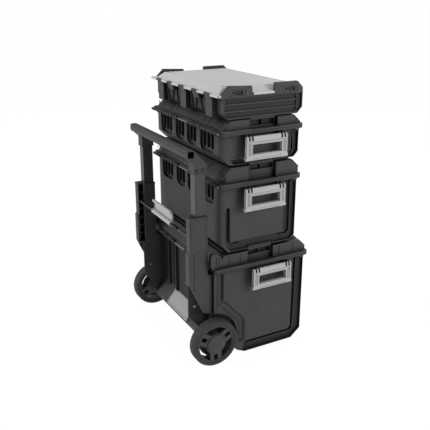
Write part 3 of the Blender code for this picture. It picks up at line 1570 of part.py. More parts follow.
def raised_middle(shop, name, low, edge, top, shrink):
    """Middle of the organizer lid, sloping up from its border, or the hollow below it."""
    slope = ORGANIZER_LID_SLOPE
    rear_slope = slope * ORGANIZER_REAR_SLOPE_SHARE
    foot = EMBED * slope / (top - edge)
    half = ORGANIZER_HALF_WIDTH - GUARD_THICKNESS - ORGANIZER_LID_BORDER / 2 - shrink
    front = ORGANIZER_FRONT - ORGANIZER_LID_BORDER - shrink
    rear = GUARD_REAR_SPAN[1] - shrink
    start = edge - EMBED - shrink
    top = top - shrink
    across = [(half + foot, low), (half + foot, start), (half - slope, top)]
    along = [
        (-front - foot, low), (-front - foot, start), (slope - front, top),
        (rear - rear_slope, top), (rear + foot, start), (rear + foot, low),
    ]
    reach = half + foot + OVERRUN
    middle = outline(shop, name, mirrored(across), "Y", -front - foot, rear + foot)
    trim(middle, outline(shop, f"{name}_side", along, "X", -reach, reach))
    return middle


def make_wheel(shop, side):
    """Tyre, hub with three spokes, and cap of one wheel, on its own axle line."""
    word = "right" if side > 0 else "left"
    inner = WHEEL_INNER_FACE
    outer = inner + WHEEL_WIDTH
    parts = [make_tyre(shop, f"wheel_{word}_tyre"), make_hub(shop, f"wheel_{word}_hub")]
    for part in parts:
        part.rotation_euler = (0, side * math.pi / 2, 0)
        part.location = (side * (inner + outer) / 2, WHEEL_Y, WHEEL_RADIUS)
    shop.keep(parts[0], "rubber")
    shop.keep(parts[1], "dark")
    cap = make_cap(shop, f"wheel_{word}_cap")
    cap.rotation_euler = (0, side * math.pi / 2, 0)
    cap.location = (side * outer, WHEEL_Y, WHEEL_RADIUS)
    shop.keep(cap, "dark")


def turned(shop, name, profile, closed, sides=WHEEL_SIDES):
    """Profile of (radius, height) points turned about Z, down the outer side."""
    mesh = bpy.data.meshes.new(name)
    shape = bmesh.new()
    spots = [shape.verts.new((radius, 0, height)) for radius, height in profile]
    pairs = list(zip(spots, spots[1:]))
    if closed:
        pairs.append((spots[-1], spots[0]))
    for first, second in pairs:
        shape.edges.new((first, second))
    shape.to_mesh(mesh)
    shape.free()
    item = place_mesh(shop, name, mesh)
    turn = item.modifiers.new("turn", "SCREW")
    turn.axis = "Z"
    turn.angle = 2 * math.pi
    turn.steps = sides
    turn.render_steps = sides
    turn.use_merge_vertices = True
    turn.merge_threshold = MERGE_DISTANCE
    turn.use_smooth_shade = True
    return item


def make_tyre(shop, name):
    """Tread ring with rounded shoulders."""
    half = WHEEL_WIDTH / 2
    inner = WHEEL_RADIUS - TREAD_THICKNESS
    profile = [
        (inner, half),
        (WHEEL_RADIUS - TREAD_ROUND, half),
        (WHEEL_RADIUS, half - TREAD_ROUND),
        (WHEEL_RADIUS, TREAD_ROUND - half),
        (WHEEL_RADIUS - TREAD_ROUND, -half),
        (inner, -half),
    ]
    return turned(shop, name, profile, True)


def make_hub(shop, name):
    """Wheel body with three arc openings and a slot in each spoke."""
    half = WHEEL_WIDTH / 2
    radius = WHEEL_RADIUS - TREAD_THICKNESS - CLEARANCE
    end = half - HUB_INSET
    hub = cylinder(shop, name, radius, "Z", -end, end, (0, 0), WHEEL_SIDES)
    third = 2 * math.pi / SPOKE_COUNT
    spare_outer = math.asin(SPOKE_HALF_WIDTH / RIM_WEB_OUTER)
    spare_inner = math.asin(SPOKE_HALF_WIDTH / RIM_WEB_INNER)
    slot_low, slot_high = SPOKE_SLOT_SPAN
    for index in range(SPOKE_COUNT):
        spoke = SPOKE_FIRST_ANGLE + index * third
        outside = arc(
            (0, 0), RIM_WEB_OUTER, spoke + spare_outer, spoke + third - spare_outer,
            OPENING_OUTER_STEPS,
        )
        inside = arc(
            (0, 0), RIM_WEB_INNER, spoke + third - spare_inner, spoke + spare_inner,
            OPENING_INNER_STEPS,
        )
        cut(hub, outline(
            shop, f"{name}_opening_{index}", [*outside, *inside], "Z", -WHEEL_WIDTH, WHEEL_WIDTH
        ))
        slot = block(
            shop, f"{name}_slot_{index}",
            (slot_low, -SPOKE_SLOT_HALF_WIDTH, -WHEEL_WIDTH),
            (slot_high, SPOKE_SLOT_HALF_WIDTH, WHEEL_WIDTH),
        )
        centre = (slot_low + slot_high) / 2
        slot.location = (centre * math.cos(spoke), centre * math.sin(spoke), 0)
        slot.rotation_euler = (0, 0, spoke)
        cut(hub, slot)
    cut(hub, cylinder(
        shop, f"{name}_bore", AXLE_RADIUS + CLEARANCE, "Z", -WHEEL_WIDTH, WHEEL_WIDTH, (0, 0),
        AXLE_SIDES,
    ))
    mesh = baked_mesh(hub)
    mesh.shade_smooth()
    mesh.set_sharp_from_angle(angle=SEAM_ANGLE)
    return place_mesh(shop, name, mesh)


def make_cap(shop, name):
    """Domed cap over the end of the axle."""
    base = CLEARANCE - HUB_INSET
    height = CAP_RISE - base
    dome = [(CAP_RADIUS * out, base + height * up) for out, up in CAP_SHARES]
    profile = [*dome, (CAP_RADIUS, base), (0, base)]
    return turned(shop, name, profile, False, CAP_SIDES)


def make_axle(shop):
    """Steel axle through both wheels and the beam."""
    reach = WHEEL_INNER_FACE + WHEEL_WIDTH - HUB_INSET - CLEARANCE
    axle = cylinder(
        shop, "axle", AXLE_RADIUS, "X", -reach, reach, (WHEEL_Y, WHEEL_RADIUS), AXLE_SIDES
    )
    shop.keep(axle, "steel")


def post_outline(front):
    """Side view of a handle post above and beside the bin."""
    return [
        (front, POST_SHOULDER),
        (POST_FRONT, POST_SHOULDER),
        (POST_FRONT, POST_TOP),
        (POST_REAR, POST_TOP),
        (POST_REAR, POST_STEP_TOP),
        (POST_STEP_REAR, POST_STEP_TOP - POST_STEP_REAR + POST_REAR),
        (POST_STEP_REAR, POST_STEP_LOW),
        (POST_DIAGONAL_REAR, POST_DIAGONAL_LOW),
        (front, POST_FOOT_LOW),
    ]


def make_post(shop, side):
    """Post that guides one tube: closed channel, narrower ribbed back, foot bracket."""
    word = "right" if side > 0 else "left"
    name = f"{word}_post"
    front = BIN_REAR_WALL + CLEARANCE
    start, end = sorted((side * POST_INNER, side * POST_OUTER))
    post = outline(shop, name, post_outline(front), "X", start, end)
    tube_front = TUBE_FRONT - TUBE_PLAY
    tube_rear = TUBE_FRONT + TUBE_DEPTH + TUBE_PLAY
    low_x, high_x = sorted((
        side * (TUBE_INNER - TUBE_PLAY), side * (TUBE_INNER + TUBE_WIDTH + TUBE_PLAY)
    ))
    cut(post, block(
        shop, f"{name}_channel", (low_x, tube_front, 0), (high_x, tube_rear, POST_TOP + OVERRUN)
    ))
    back_front = tube_rear + POST_WALL
    back_rear = POST_REAR - POST_WALL
    open_x = side * (POST_INNER - OVERRUN)
    web_x = side * (POST_OUTER - POST_WALL)
    low_x, high_x = sorted((open_x, web_x))
    span = (POST_TOP - POST_WALL - POST_POCKET_LOW) / POST_RIB_COUNT
    for index in range(POST_RIB_COUNT):
        low = POST_POCKET_LOW + index * span + POST_RIB_THICKNESS
        high = POST_POCKET_LOW + (index + 1) * span
        pieces = [(low, high)]
        if low < ROD_Z < high:
            pieces = [(low, ROD_Z - ROD_BOSS / 2), (ROD_Z + ROD_BOSS / 2, high)]
        for part, (bottom, top) in enumerate(pieces):
            if top - bottom > POST_RIB_THICKNESS:
                cut(post, block(
                    shop, f"{name}_back_{index}_{part}", (low_x, back_front, bottom),
                    (high_x, back_rear, top),
                ))
    setback_x = side * (POST_INNER + POST_BACK_SETBACK)
    near_x, far_x = sorted((open_x, setback_x))
    cut(post, block(
        shop, f"{name}_setback", (near_x, back_front, POST_POCKET_LOW + POST_RIB_THICKNESS),
        (far_x, POST_STEP_REAR + OVERRUN, POST_TOP + OVERRUN),
    ))
    cut(post, block(
        shop, f"{name}_foot", (low_x, front + POST_WALL, 0),
        (high_x, POST_STEP_REAR + OVERRUN, POST_POCKET_LOW - POST_WALL),
    ))
    bracket = [
        (front, POST_POCKET_LOW),
        (BRACKET_REAR, POST_POCKET_LOW),
        (BRACKET_REAR, BRACKET_REAR_LOW),
        (BRACKET_TIP, BRACKET_TIP_LOW),
        (BEAM_REAR, beam_top(BEAM_REAR) + BRACKET_GAP),
        (front, beam_top(front) + BRACKET_GAP),
    ]
    start, end = sorted((side * POST_INNER, side * (TUBE_INNER - TUBE_PLAY)))
    join(post, outline(shop, f"{name}_bracket", bracket, "X", start, end))
    cut(post, cylinder(
        shop, f"{name}_rod_bore", ROD_RADIUS + CLEARANCE, "X", -ROD_HALF_LENGTH - CLEARANCE,
        ROD_HALF_LENGTH + CLEARANCE, (ROD_Y, ROD_Z), KNUCKLE_SIDES,
    ))
    shop.keep(post, "plastic")


def make_screw(shop, name, axis, start, way, centre):
    """Round screw head that stands on a face, pointing along an axis or against it."""
    low, high = sorted((start, start + way * SCREW_HEAD))
    screw = cylinder(shop, name, SCREW_RADIUS, axis, low, high, centre, KNUCKLE_SIDES)
    shop.keep(screw, "steel")


def make_post_screws(shop, side):
    """Screws that hold one post to the rear wall of the bin."""
    word = "right" if side > 0 else "left"
    face = BIN_REAR_WALL + POST_WALL + CLEARANCE * 2
    x = side * (TUBE_INNER + TUBE_WIDTH / 2)
    for index, z in enumerate(POST_SCREW_PLACES):
        make_screw(shop, f"post_screw_{word}_{index + 1}", "Y", face, 1, (x, z))


def make_tube(shop, side):
    """Hollow tube of the handle, with a plastic foot in its lower end."""
    word = "right" if side > 0 else "left"
    low_x, high_x = sorted((side * TUBE_INNER, side * (TUBE_INNER + TUBE_WIDTH)))
    rear = TUBE_FRONT + TUBE_DEPTH
    tube = block(
        shop, f"handle_tube_{word}", (low_x, TUBE_FRONT, TUBE_LOW), (high_x, rear, TUBE_TOP)
    )
    cut(tube, block(
        shop, f"tube_bore_{word}",
        (low_x + TUBE_WALL, TUBE_FRONT + TUBE_WALL, TUBE_LOW - OVERRUN),
        (high_x - TUBE_WALL, rear - TUBE_WALL, TUBE_TOP + OVERRUN),
    ))
    shop.keep(tube, "tube")
    inset = TUBE_WALL + CLEARANCE
    foot = block(
        shop, f"handle_foot_{word}",
        (low_x + inset, TUBE_FRONT + inset, TUBE_LOW),
        (high_x - inset, rear - inset, TUBE_LOW + FOOT_HEIGHT),
    )
    shop.keep(foot, "dark")


def make_collar(shop, side):
    """Bracket that joins the top of a tube to the grip."""
    word = "right" if side > 0 else "left"
    name = f"handle_collar_{word}"
    front = TUBE_FRONT - COLLAR_WALL
    rear = TUBE_FRONT + TUBE_DEPTH + COLLAR_WALL
    grip_front = GRIP_Y - GRIP_SIZE / 2 - CLEARANCE
    grip_low = GRIP_Z - GRIP_SIZE / 2 - CLEARANCE
    points = [
        (front, COLLAR_LOW),
        (rear, COLLAR_LOW),
        (rear, grip_low - COLLAR_GUSSET),
        (GRIP_Y + COLLAR_LEDGE, grip_low),
        (grip_front, grip_low),
        (grip_front, COLLAR_TOP),
        (grip_front - COLLAR_WALL, COLLAR_TOP),
        (front, TUBE_TOP - COLLAR_WALL),
    ]
    low_x, high_x = sorted((
        side * (TUBE_INNER - COLLAR_WALL), side * (TUBE_INNER + TUBE_WIDTH + COLLAR_WALL)
    ))
    collar = outline(shop, name, points, "X", low_x, high_x)
    low_x, high_x = sorted((
        side * (TUBE_INNER - CLEARANCE), side * (TUBE_INNER + TUBE_WIDTH + CLEARANCE)
    ))
    cut(collar, block(
        shop, f"{name}_socket",
        (low_x, TUBE_FRONT - CLEARANCE, COLLAR_LOW - OVERRUN),
        (high_x, TUBE_FRONT + TUBE_DEPTH + CLEARANCE, TUBE_TOP + CLEARANCE),
    ))
    shop.keep(collar, "plastic")


def rounded_square(centre, size, radius, steps):
    """Square outline with round corners."""
    half = size / 2 - radius
    points = []
    for index, (u, v) in enumerate(((1, 1), (-1, 1), (-1, -1), (1, -1))):
        start = index * math.pi / 2
        spot = (centre[0] + u * half, centre[1] + v * half)
        points += arc(spot, radius, start, start + math.pi / 2, steps)
    return points


def make_grip(shop):
    """Cross tube of the handle, open at both ends."""
    outer = rounded_square((GRIP_Y, GRIP_Z), GRIP_SIZE, GRIP_ROUND, GRIP_OUTER_STEPS)
    inner = rounded_square(
        (GRIP_Y, GRIP_Z), GRIP_SIZE - GRIP_WALL * 2, GRIP_ROUND - GRIP_WALL, GRIP_INNER_STEPS
    )
    grip = outline(
        shop, "handle_grip", outer, "X", -GRIP_HALF_LENGTH, GRIP_HALF_LENGTH, holes=(inner,)
    )
    grip.data.shade_smooth()
    grip.data.set_sharp_from_angle(angle=SEAM_ANGLE)
    shop.keep(grip, "plastic")


def make_collar_screws(shop, side):
    """Screws on the outer side of one collar."""
    word = "right" if side > 0 else "left"
    face = side * (TUBE_INNER + TUBE_WIDTH + COLLAR_WALL + CLEARANCE)
    for index, y in enumerate(COLLAR_SCREW_PLACES):
        name = f"collar_screw_{word}_{index + 1}"
        make_screw(shop, name, "X", face, side, (y, COLLAR_SCREW_Z))


def make_release(shop):
    """Cross rod and concave grey paddle of the handle lock."""
    rod = cylinder(
        shop, "release_rod", ROD_RADIUS, "X", -ROD_HALF_LENGTH, ROD_HALF_LENGTH,
        (ROD_Y, ROD_Z), KNUCKLE_SIDES,
    )
    shop.keep(rod, "steel")
    reach = PADDLE_TOP / 2
    radius = (reach**2 + PADDLE_SAG**2) / (2 * PADDLE_SAG)
    half_angle = math.asin(reach / radius)
    centre = (ROD_Y + radius - PADDLE_SAG, ROD_Z + reach)
    low_end = math.pi + half_angle
    high_end = math.pi - half_angle
    back = arc(centre, radius, low_end, high_end, PADDLE_STEPS)
    front = arc(centre, radius + PADDLE_THICKNESS, high_end, low_end, PADDLE_STEPS)
    paddle = outline(
        shop, "release_paddle", [*back, *front], "X", -PADDLE_HALF_WIDTH, PADDLE_HALF_WIDTH
    )
    top = ROD_Z + PADDLE_TOP
    join(paddle, block(
        shop, "paddle_lip",
        (-PADDLE_HALF_WIDTH, ROD_Y - PADDLE_THICKNESS, top - PADDLE_LIP / 2),
        (PADDLE_HALF_WIDTH, ROD_Y + PADDLE_THICKNESS, top + PADDLE_LIP / 2),
    ))
    join(paddle, cylinder(
        shop, "paddle_curl", PADDLE_CURL, "X", -PADDLE_HALF_WIDTH, PADDLE_HALF_WIDTH,
        (ROD_Y, ROD_Z), ROLL_SIDES,
    ))
    cut(paddle, cylinder(
        shop, "paddle_bore", ROD_RADIUS + CLEARANCE, "X", -PADDLE_HALF_WIDTH - OVERRUN,
        PADDLE_HALF_WIDTH + OVERRUN, (ROD_Y, ROD_Z), KNUCKLE_SIDES,
    ))
    shop.keep(paddle, "latch")


def hang_latches(shop):
    """Side latches, front latches and carry handles on their pins."""
    side_mesh = flap_mesh(
        shop, "side_latch", LATCH_WIDTH, LATCH_LENGTH, LATCH_THICKNESS, LATCH_UPRIGHT,
        (LATCH_WINDOW_TOP, LATCH_WINDOW_LOW), LATCH_ROLL_RADIUS, LUG_PLACES,
    )
    front_mesh = flap_mesh(
        shop, "front_latch", FRONT_LATCH_WIDTH, FRONT_LATCH_LENGTH, FRONT_LATCH_THICKNESS,
        FRONT_LATCH_UPRIGHT, (FRONT_LATCH_WINDOW_TOP, FRONT_LATCH_WINDOW_LOW),
        FRONT_ROLL_RADIUS, (FRONT_LUG_PLACE,),
    )
    handle_mesh = flap_mesh(
        shop, "carry_handle", HANDLE_WIDTH, HANDLE_LENGTH, HANDLE_THICKNESS, HANDLE_UPRIGHT,
        (HANDLE_WINDOW_TOP, HANDLE_WINDOW_LOW), HANDLE_ROLL_RADIUS, (HANDLE_LUG_PLACE,),
    )
    small_handle_mesh = flap_mesh(
        shop, "small_handle", HANDLE_WIDTH, ORGANIZER_HANDLE_LENGTH, HANDLE_THICKNESS,
        HANDLE_UPRIGHT, (HANDLE_WINDOW_TOP, ORGANIZER_HANDLE_WINDOW), HANDLE_ROLL_RADIUS,
        (HANDLE_LUG_PLACE,),
    )
    to_front = -math.pi / 2
    units = (
        ("bin", BIN, BIN_LATCH_CENTRE), ("medium", MEDIUM, LATCH_CENTRE),
        ("small", SMALL, LATCH_CENTRE),
    )
    for word, unit, centre in units:
        for side, turn, hand in ((1, 0, "right"), (-1, math.pi, "left")):
            pin = (side * LATCH_PIN_X, centre, unit.latch_pin)
            hang_flap(shop, f"{word}_side_latch_{hand}", side_mesh, pin, turn, "latch")
    fronts = (
        ("bin", BIN, BIN_RIM_FRONT), ("medium", MEDIUM, BOX_RIM_HALF_DEPTH),
        ("small", SMALL, BOX_RIM_HALF_DEPTH), ("organizer", ORGANIZER, ORGANIZER_FRONT),
    )
    for word, unit, face in fronts:
        for side, hand in ((1, "right"), (-1, "left")):
            pin = (side * FRONT_LATCH_CENTRE, -face - LATCH_STAND, unit.parting + RIM_BAND / 2)
            hang_flap(shop, f"{word}_front_latch_{hand}", front_mesh, pin, to_front, "latch")
    handles = (
        ("medium", handle_mesh, BOX_FRONT_WALL, MEDIUM.parting - HANDLE_PIN_DROP),
        ("small", handle_mesh, BOX_FRONT_WALL, SMALL.parting - HANDLE_PIN_DROP),
        (
            "organizer", small_handle_mesh, ORGANIZER_FRONT,
            ORGANIZER.parting - ORGANIZER_HANDLE_DROP,
        ),
    )
    for word, mesh, face, pin_z in handles:
        pin = (0, -face - HANDLE_STAND, pin_z)
        hang_flap(shop, f"{word}_carry_handle", mesh, pin, to_front, "plastic")


def main():
    clear_scene()
    shop = Shop()
    make_bin(shop)
    make_kick_plate(shop)
    make_axle(shop)
    for side in (-1, 1):
        make_wheel(shop, side)
        make_post(shop, side)
        make_tube(shop, side)
        make_collar(shop, side)
        make_post_screws(shop, side)
        make_collar_screws(shop, side)
    make_grip(shop)
    make_release(shop)
    make_bin_lid(shop)
    make_box(
        shop, "medium_body", MEDIUM,
        box_channel(
            MEDIUM, MEDIUM_PANEL_LOW, MEDIUM_CHANNEL_REAR,
            MEDIUM.parting - MEDIUM_CHANNEL_DROP,
        ),
    )
    make_box(shop, "small_body", SMALL, box_channel(SMALL, SMALL_PANEL_LOW, SMALL_CHANNEL_REAR))
    for name, unit in (("medium_lid", MEDIUM), ("small_lid", SMALL)):
        lid = make_lid(shop, name, unit, BOX_LID)
        finish_lid(shop, lid, unit, BOX_LID, HINGE_Y, COMB_END)
    make_organizer(shop)
    make_organizer_lid(shop)
    hang_latches(shop)


main()
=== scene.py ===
"""Looks of a rolling stack of four tool boxes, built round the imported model.

Metres, +Z up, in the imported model's own frame: the fronts of the boxes face -Y, and the wheels,
the hinges and the telescopic handle are at +Y. Every piece here rides on a body of that model.
"""

from __future__ import annotations

import json
import logging
import math
from collections.abc import Sequence
from dataclasses import dataclass, field
from enum import Enum

import bmesh
import bpy
import numpy as np
from mathutils import Matrix, Vector

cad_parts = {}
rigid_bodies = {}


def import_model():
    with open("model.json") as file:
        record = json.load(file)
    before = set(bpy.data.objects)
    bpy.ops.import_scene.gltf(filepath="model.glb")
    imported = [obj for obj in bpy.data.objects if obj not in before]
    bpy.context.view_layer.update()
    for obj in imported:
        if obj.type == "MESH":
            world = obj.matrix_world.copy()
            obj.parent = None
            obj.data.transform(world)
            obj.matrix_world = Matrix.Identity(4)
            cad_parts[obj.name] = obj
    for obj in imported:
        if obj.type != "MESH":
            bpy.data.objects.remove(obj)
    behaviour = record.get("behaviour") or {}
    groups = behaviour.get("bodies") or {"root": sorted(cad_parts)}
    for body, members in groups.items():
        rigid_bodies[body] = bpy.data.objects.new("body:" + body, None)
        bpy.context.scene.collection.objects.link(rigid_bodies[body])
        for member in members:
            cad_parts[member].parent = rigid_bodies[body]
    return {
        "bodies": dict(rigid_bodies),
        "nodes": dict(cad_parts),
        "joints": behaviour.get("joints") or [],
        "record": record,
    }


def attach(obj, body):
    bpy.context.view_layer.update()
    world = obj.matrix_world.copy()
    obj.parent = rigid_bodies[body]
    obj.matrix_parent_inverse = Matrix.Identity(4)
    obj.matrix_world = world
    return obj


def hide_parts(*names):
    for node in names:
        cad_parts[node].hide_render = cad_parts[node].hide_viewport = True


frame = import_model()

MM = 0.001
MERGE = 0.005 * MM
FLAT_ANGLE = math.radians(1.0)
CREASE_ANGLE = math.radians(32.0)
SEAM_ANGLE = math.radians(50.0)
SMALL_EDGE = 0.5 * MM
SECOND_EDGE_SHARE = 0.4
ROOM_SHARE = 2.3
MITRE_LIMIT = 0.35
NOISE_LOW, NOISE_HIGH = 0.3, 0.7
PACKED_PANEL_FRONT = -0.125
SIDES = (-1, 1)
HANDS = ((-1, "left"), (1, "right"))
LOG = logging.getLogger("toolbox_stack")

Point = tuple[float, float, float]
Flat = tuple[float, float]
Colour = tuple[float, float, float]


class Axis(Enum):
    """Direction that a flat outline is pushed along, with the axes its points lie on."""

    X = (0, 1, 2)
    Y = (1, 0, 2)
    Z = (2, 0, 1)


class Signal:
    """A number inside a material, whose arithmetic adds the nodes that do it."""

    def __init__(self, recipe: Recipe, socket: bpy.types.NodeSocket) -> None:
        """Wrap an output socket.

        Args:
            recipe: The material recipe that the socket belongs to.
            socket: The output socket itself.
        """
        self.recipe = recipe
        self.socket = socket

    def __add__(self, other: Signal | float) -> Signal:
        """Sum of two signals."""
        return self.recipe.maths("ADD", self, other)

    def __radd__(self, other: float) -> Signal:
        """Sum with a plain number on the left."""
        return self.recipe.maths("ADD", other, self)

    def __sub__(self, other: Signal | float) -> Signal:
        """Difference of two signals."""
        return self.recipe.maths("SUBTRACT", self, other)

    def __rsub__(self, other: float) -> Signal:
        """Plain number less this signal."""
        return self.recipe.maths("SUBTRACT", other, self)

    def __mul__(self, other: Signal | float) -> Signal:
        """Product of two signals."""
        return self.recipe.maths("MULTIPLY", self, other)

    def __rmul__(self, other: float) -> Signal:
        """Product with a plain number on the left."""
        return self.recipe.maths("MULTIPLY", other, self)


class Recipe:
    """Node tree of one material."""

    def __init__(self, name: str) -> None:
        """Start a material with its Principled shader and nothing linked to it.

        Args:
            name: Name of the material.
        """
        self.material = bpy.data.materials.new(name)
        self.material.use_nodes = True
        self.nodes = self.material.node_tree.nodes
        self.links = self.material.node_tree.links
        self.shader = self.nodes["Principled BSDF"]

    def node(
        self,
        kind: str,
        settings: dict[str, object] | None = None,
        inputs: dict[str | int, object] | None = None,
        output: str | int = 0,
    ) -> Signal:
        """Add a node, set it up and feed it.

        Args:
            kind: Blender's type name of the node.
            settings: Properties of the node, set before its sockets are used.
            inputs: A value or a signal for each socket named or numbered.
            output: The socket that the caller wants.

        Returns:
            The wanted output as a signal.
        """
        made = self.nodes.new(kind)
        for key, value in (settings or {}).items():
            setattr(made, key, value)
        for key, value in (inputs or {}).items():
            self.feed(made.inputs[key], value)
        return Signal(self, made.outputs[output])

    def feed(self, socket: bpy.types.NodeSocket, value: object) -> None:
        """Link a signal to a socket, or set a plain value on it."""
        if isinstance(value, Signal):
            self.links.new(value.socket, socket)
        else:
            socket.default_value = value

    def maths(self, operation: str, first: Signal | float, second: Signal | float) -> Signal:
        """One Math node."""
        return self.node("ShaderNodeMath", {"operation": operation}, {0: first, 1: second})

    def place(self, scale: Point = (1.0, 1.0, 1.0)) -> Signal:
        """Object coordinates, stretched by a scale for each axis."""
        spot = self.node("ShaderNodeTexCoord", output="Object")
        return self.node("ShaderNodeMapping", inputs={"Vector": spot, "Scale": scale})

    def noise(self, at: Signal, per_metre: float, detail: float = 3.0) -> Signal:
        """Noise between 0 and 1, with so many cells to the metre."""
        return self.node(
            "ShaderNodeTexNoise",
            inputs={"Vector": at, "Scale": per_metre, "Detail": detail},
        )

    def spread(self, value: Signal, low: float, high: float) -> Signal:
        """Signal stretched so that the middle of a noise covers low to high."""
        return self.ramp(value, (NOISE_LOW, NOISE_HIGH), (low, high))

    def ramp(self, value: Signal, source: Flat, target: Flat) -> Signal:
        """Signal carried from one range to another, and held at its ends."""
        (a, b), (c, d) = source, target
        return self.node(
            "ShaderNodeMapRange",
            {"clamp": True},
            {"Value": value, "From Min": a, "From Max": b, "To Min": c, "To Max": d},
        )

    def blend(self, share: Signal, first: Colour, second: Colour | Signal) -> Signal:
        """Two colours mixed by a signal."""
        second = second if isinstance(second, Signal) else (*second, 1.0)
        return self.node(
            "ShaderNodeMix", {"data_type": "RGBA"}, {0: share, 6: (*first, 1.0), 7: second}, 2
        )

    def bump(
        self, height: Signal, depth: float, strength: float, under: Signal | None = None
    ) -> Signal:
        """Bump of a height signal, over another bump where one is given."""
        inputs: dict[str | int, object] = {
            "Height": height, "Distance": depth, "Strength": strength
        }
        if under is not None:
            inputs["Normal"] = under
        return self.node("ShaderNodeBump", inputs=inputs)

    def finish(self, **sockets: object) -> bpy.types.Material:
        """Feed the shader's sockets, named with underscores for spaces.

        Returns:
            The finished material.
        """
        for key, value in sockets.items():
            self.feed(self.shader.inputs[key.replace("_", " ")], value)
        return self.material


@dataclass(frozen=True)
class MouldedPlastic:
    """Plastic from a spark-eroded mould: fine grain, painted shade in its hollows, and edges made
    pale by a painted highlight mixed with wear.
    """

    slot: str
    colour: Colour
    paler_tone: Colour
    painted_shade: Colour
    roughness: float
    gloss: float = 0.35
    grain_per_metre: float = 1400.0
    grain_depth: float = 0.05 * MM
    edge_radius: float = 1.4 * MM
    painted_shade_reach: float = 32.0 * MM
    painted_shade_range: Flat = (0.48, 0.94)
    cloud_per_metre: float = 9.0
    speck_per_metre: float = 260.0
    highlight_and_wear_gain: float = 6.0
    rough_swing: float = 0.05

    def build(self) -> bpy.types.Material:
        """Material with the grain, the flow marks and the handling marks of this plastic, with
        painted shade in its hollows and a painted highlight mixed with wear along its edges.
        """
        recipe = Recipe(self.slot)
        at = recipe.place()
        cloud = recipe.noise(at, self.cloud_per_metre, 4.0)
        speck = recipe.noise(at, self.speck_per_metre, 2.0)
        grain = recipe.noise(at, self.grain_per_metre, 2.0)
        scuffs = recipe.noise(recipe.place((6.0, 6.0, 60.0)), 5.0, 5.0)
        rounded = recipe.node("ShaderNodeBevel", {"samples": 4}, {"Radius": self.edge_radius})
        flat = recipe.node("ShaderNodeNewGeometry", output="Normal")
        facing = recipe.node(
            "ShaderNodeVectorMath", {"operation": "DOT_PRODUCT"}, {0: rounded, 1: flat}, "Value"
        )
        # Painted highlight mixed with wear: edges turn paler where the Bevel node's rounded normal
        # leaves the flat normal, broken up by the specks.
        edge_highlight_and_wear = (1.0 - facing) * self.highlight_and_wear_gain * (recipe.spread(speck, 0.4, 1.0))
        marks = edge_highlight_and_wear + recipe.spread(cloud, 0.0, 0.25) + recipe.spread(speck, 0.0, 0.15)
        # Painted shade: ambient occlusion within the reach darkens the colour towards the painted
        # shade colour in hollows and near other surfaces.
        shade = recipe.node(
            "ShaderNodeAmbientOcclusion", {"samples": 8},
            {"Distance": self.painted_shade_reach}, "AO",
        )
        depth = recipe.ramp(shade, self.painted_shade_range, (0.0, 1.0))
        tone = recipe.blend(marks, self.colour, self.paler_tone)
        rough = recipe.spread(
            cloud, self.roughness - self.rough_swing, self.roughness + self.rough_swing
        )
        recipe.shader.inputs["Specular IOR Level"].default_value = self.gloss
        return recipe.finish(
            # Base colour: painted shade in the hollows, over the tone that carries the painted
            # edge highlight.
            Base_Color=recipe.blend(depth, self.painted_shade, tone),
            Roughness=rough + recipe.spread(scuffs, -0.04, 0.04),
            Normal=recipe.bump(grain, self.grain_depth, 0.35, rounded),
        )


@dataclass(frozen=True)
class CoatedTube:
    """Black satin coating on an extruded tube, with faint draw lines along it."""

    slot: str
    colour: Colour
    paler_tone: Colour

    def build(self) -> bpy.types.Material:
        """Material with lines that run up the tube and lighter rubbed streaks."""
        recipe = Recipe(self.slot)
        lines = recipe.noise(recipe.place((1.0, 1.0, 0.012)), 900.0, 3.0)
        streaks = recipe.noise(recipe.place((1.0, 1.0, 0.05)), 120.0, 4.0)
        return recipe.finish(
            Base_Color=recipe.blend(recipe.spread(streaks, 0.0, 0.7), self.colour, self.paler_tone),
            Roughness=recipe.spread(lines, 0.34, 0.5),
            Metallic=0.0,
            Normal=recipe.bump(lines, 0.04 * MM, 0.3),
        )


@dataclass(frozen=True)
class PlatedSteel:
    """Bright zinc on steel rods and screws, with fine turning marks."""

    slot: str
    colour: Colour
    dull_share: float = 0.82

    def build(self) -> bpy.types.Material:
        """Material with short scratches along X and a cloudy plating."""
        recipe = Recipe(self.slot)
        scratch = recipe.noise(recipe.place((0.05, 1.0, 1.0)), 2400.0, 3.0)
        cloud = recipe.noise(recipe.place(), 90.0, 3.0)
        dull = tuple(self.dull_share * part for part in self.colour)
        return recipe.finish(
            Base_Color=recipe.blend(recipe.spread(cloud, 0.0, 1.0), self.colour, dull),
            Metallic=1.0,
            Roughness=recipe.spread(scratch, 0.24, 0.42),
            Normal=recipe.bump(scratch, 0.02 * MM, 0.25),
        )


@dataclass(frozen=True)
class SoftRubber:
    """Matt rubber of tyres and seals, with a dusty bloom."""

    slot: str
    colour: Colour
    bloom: Colour

    def build(self) -> bpy.types.Material:
        """Material with a pebbled surface and paler dust in patches."""
        recipe = Recipe(self.slot)
        at = recipe.place()
        dust = recipe.noise(at, 34.0, 5.0)
        pebble = recipe.noise(at, 900.0, 3.0)
        return recipe.finish(
            Base_Color=recipe.blend(recipe.spread(dust, 0.0, 0.8), self.colour, self.bloom),
            Roughness=recipe.spread(pebble, 0.72, 0.9),
            Normal=recipe.bump(pebble, 0.12 * MM, 0.4),
        )


# Near-black colour that the plastics darken to in their hollows: painted shade.
BLACK_PAINTED_SHADE = (0.0035, 0.0035, 0.0038)
# Finish of dark sheets set into recesses, of a hub web and of the post screws: painted shade.
PAINTED_SHADE = "shaded_plastic"
BLACKENED = "blackened_steel"
HUB_PLASTIC = "hub_plastic"
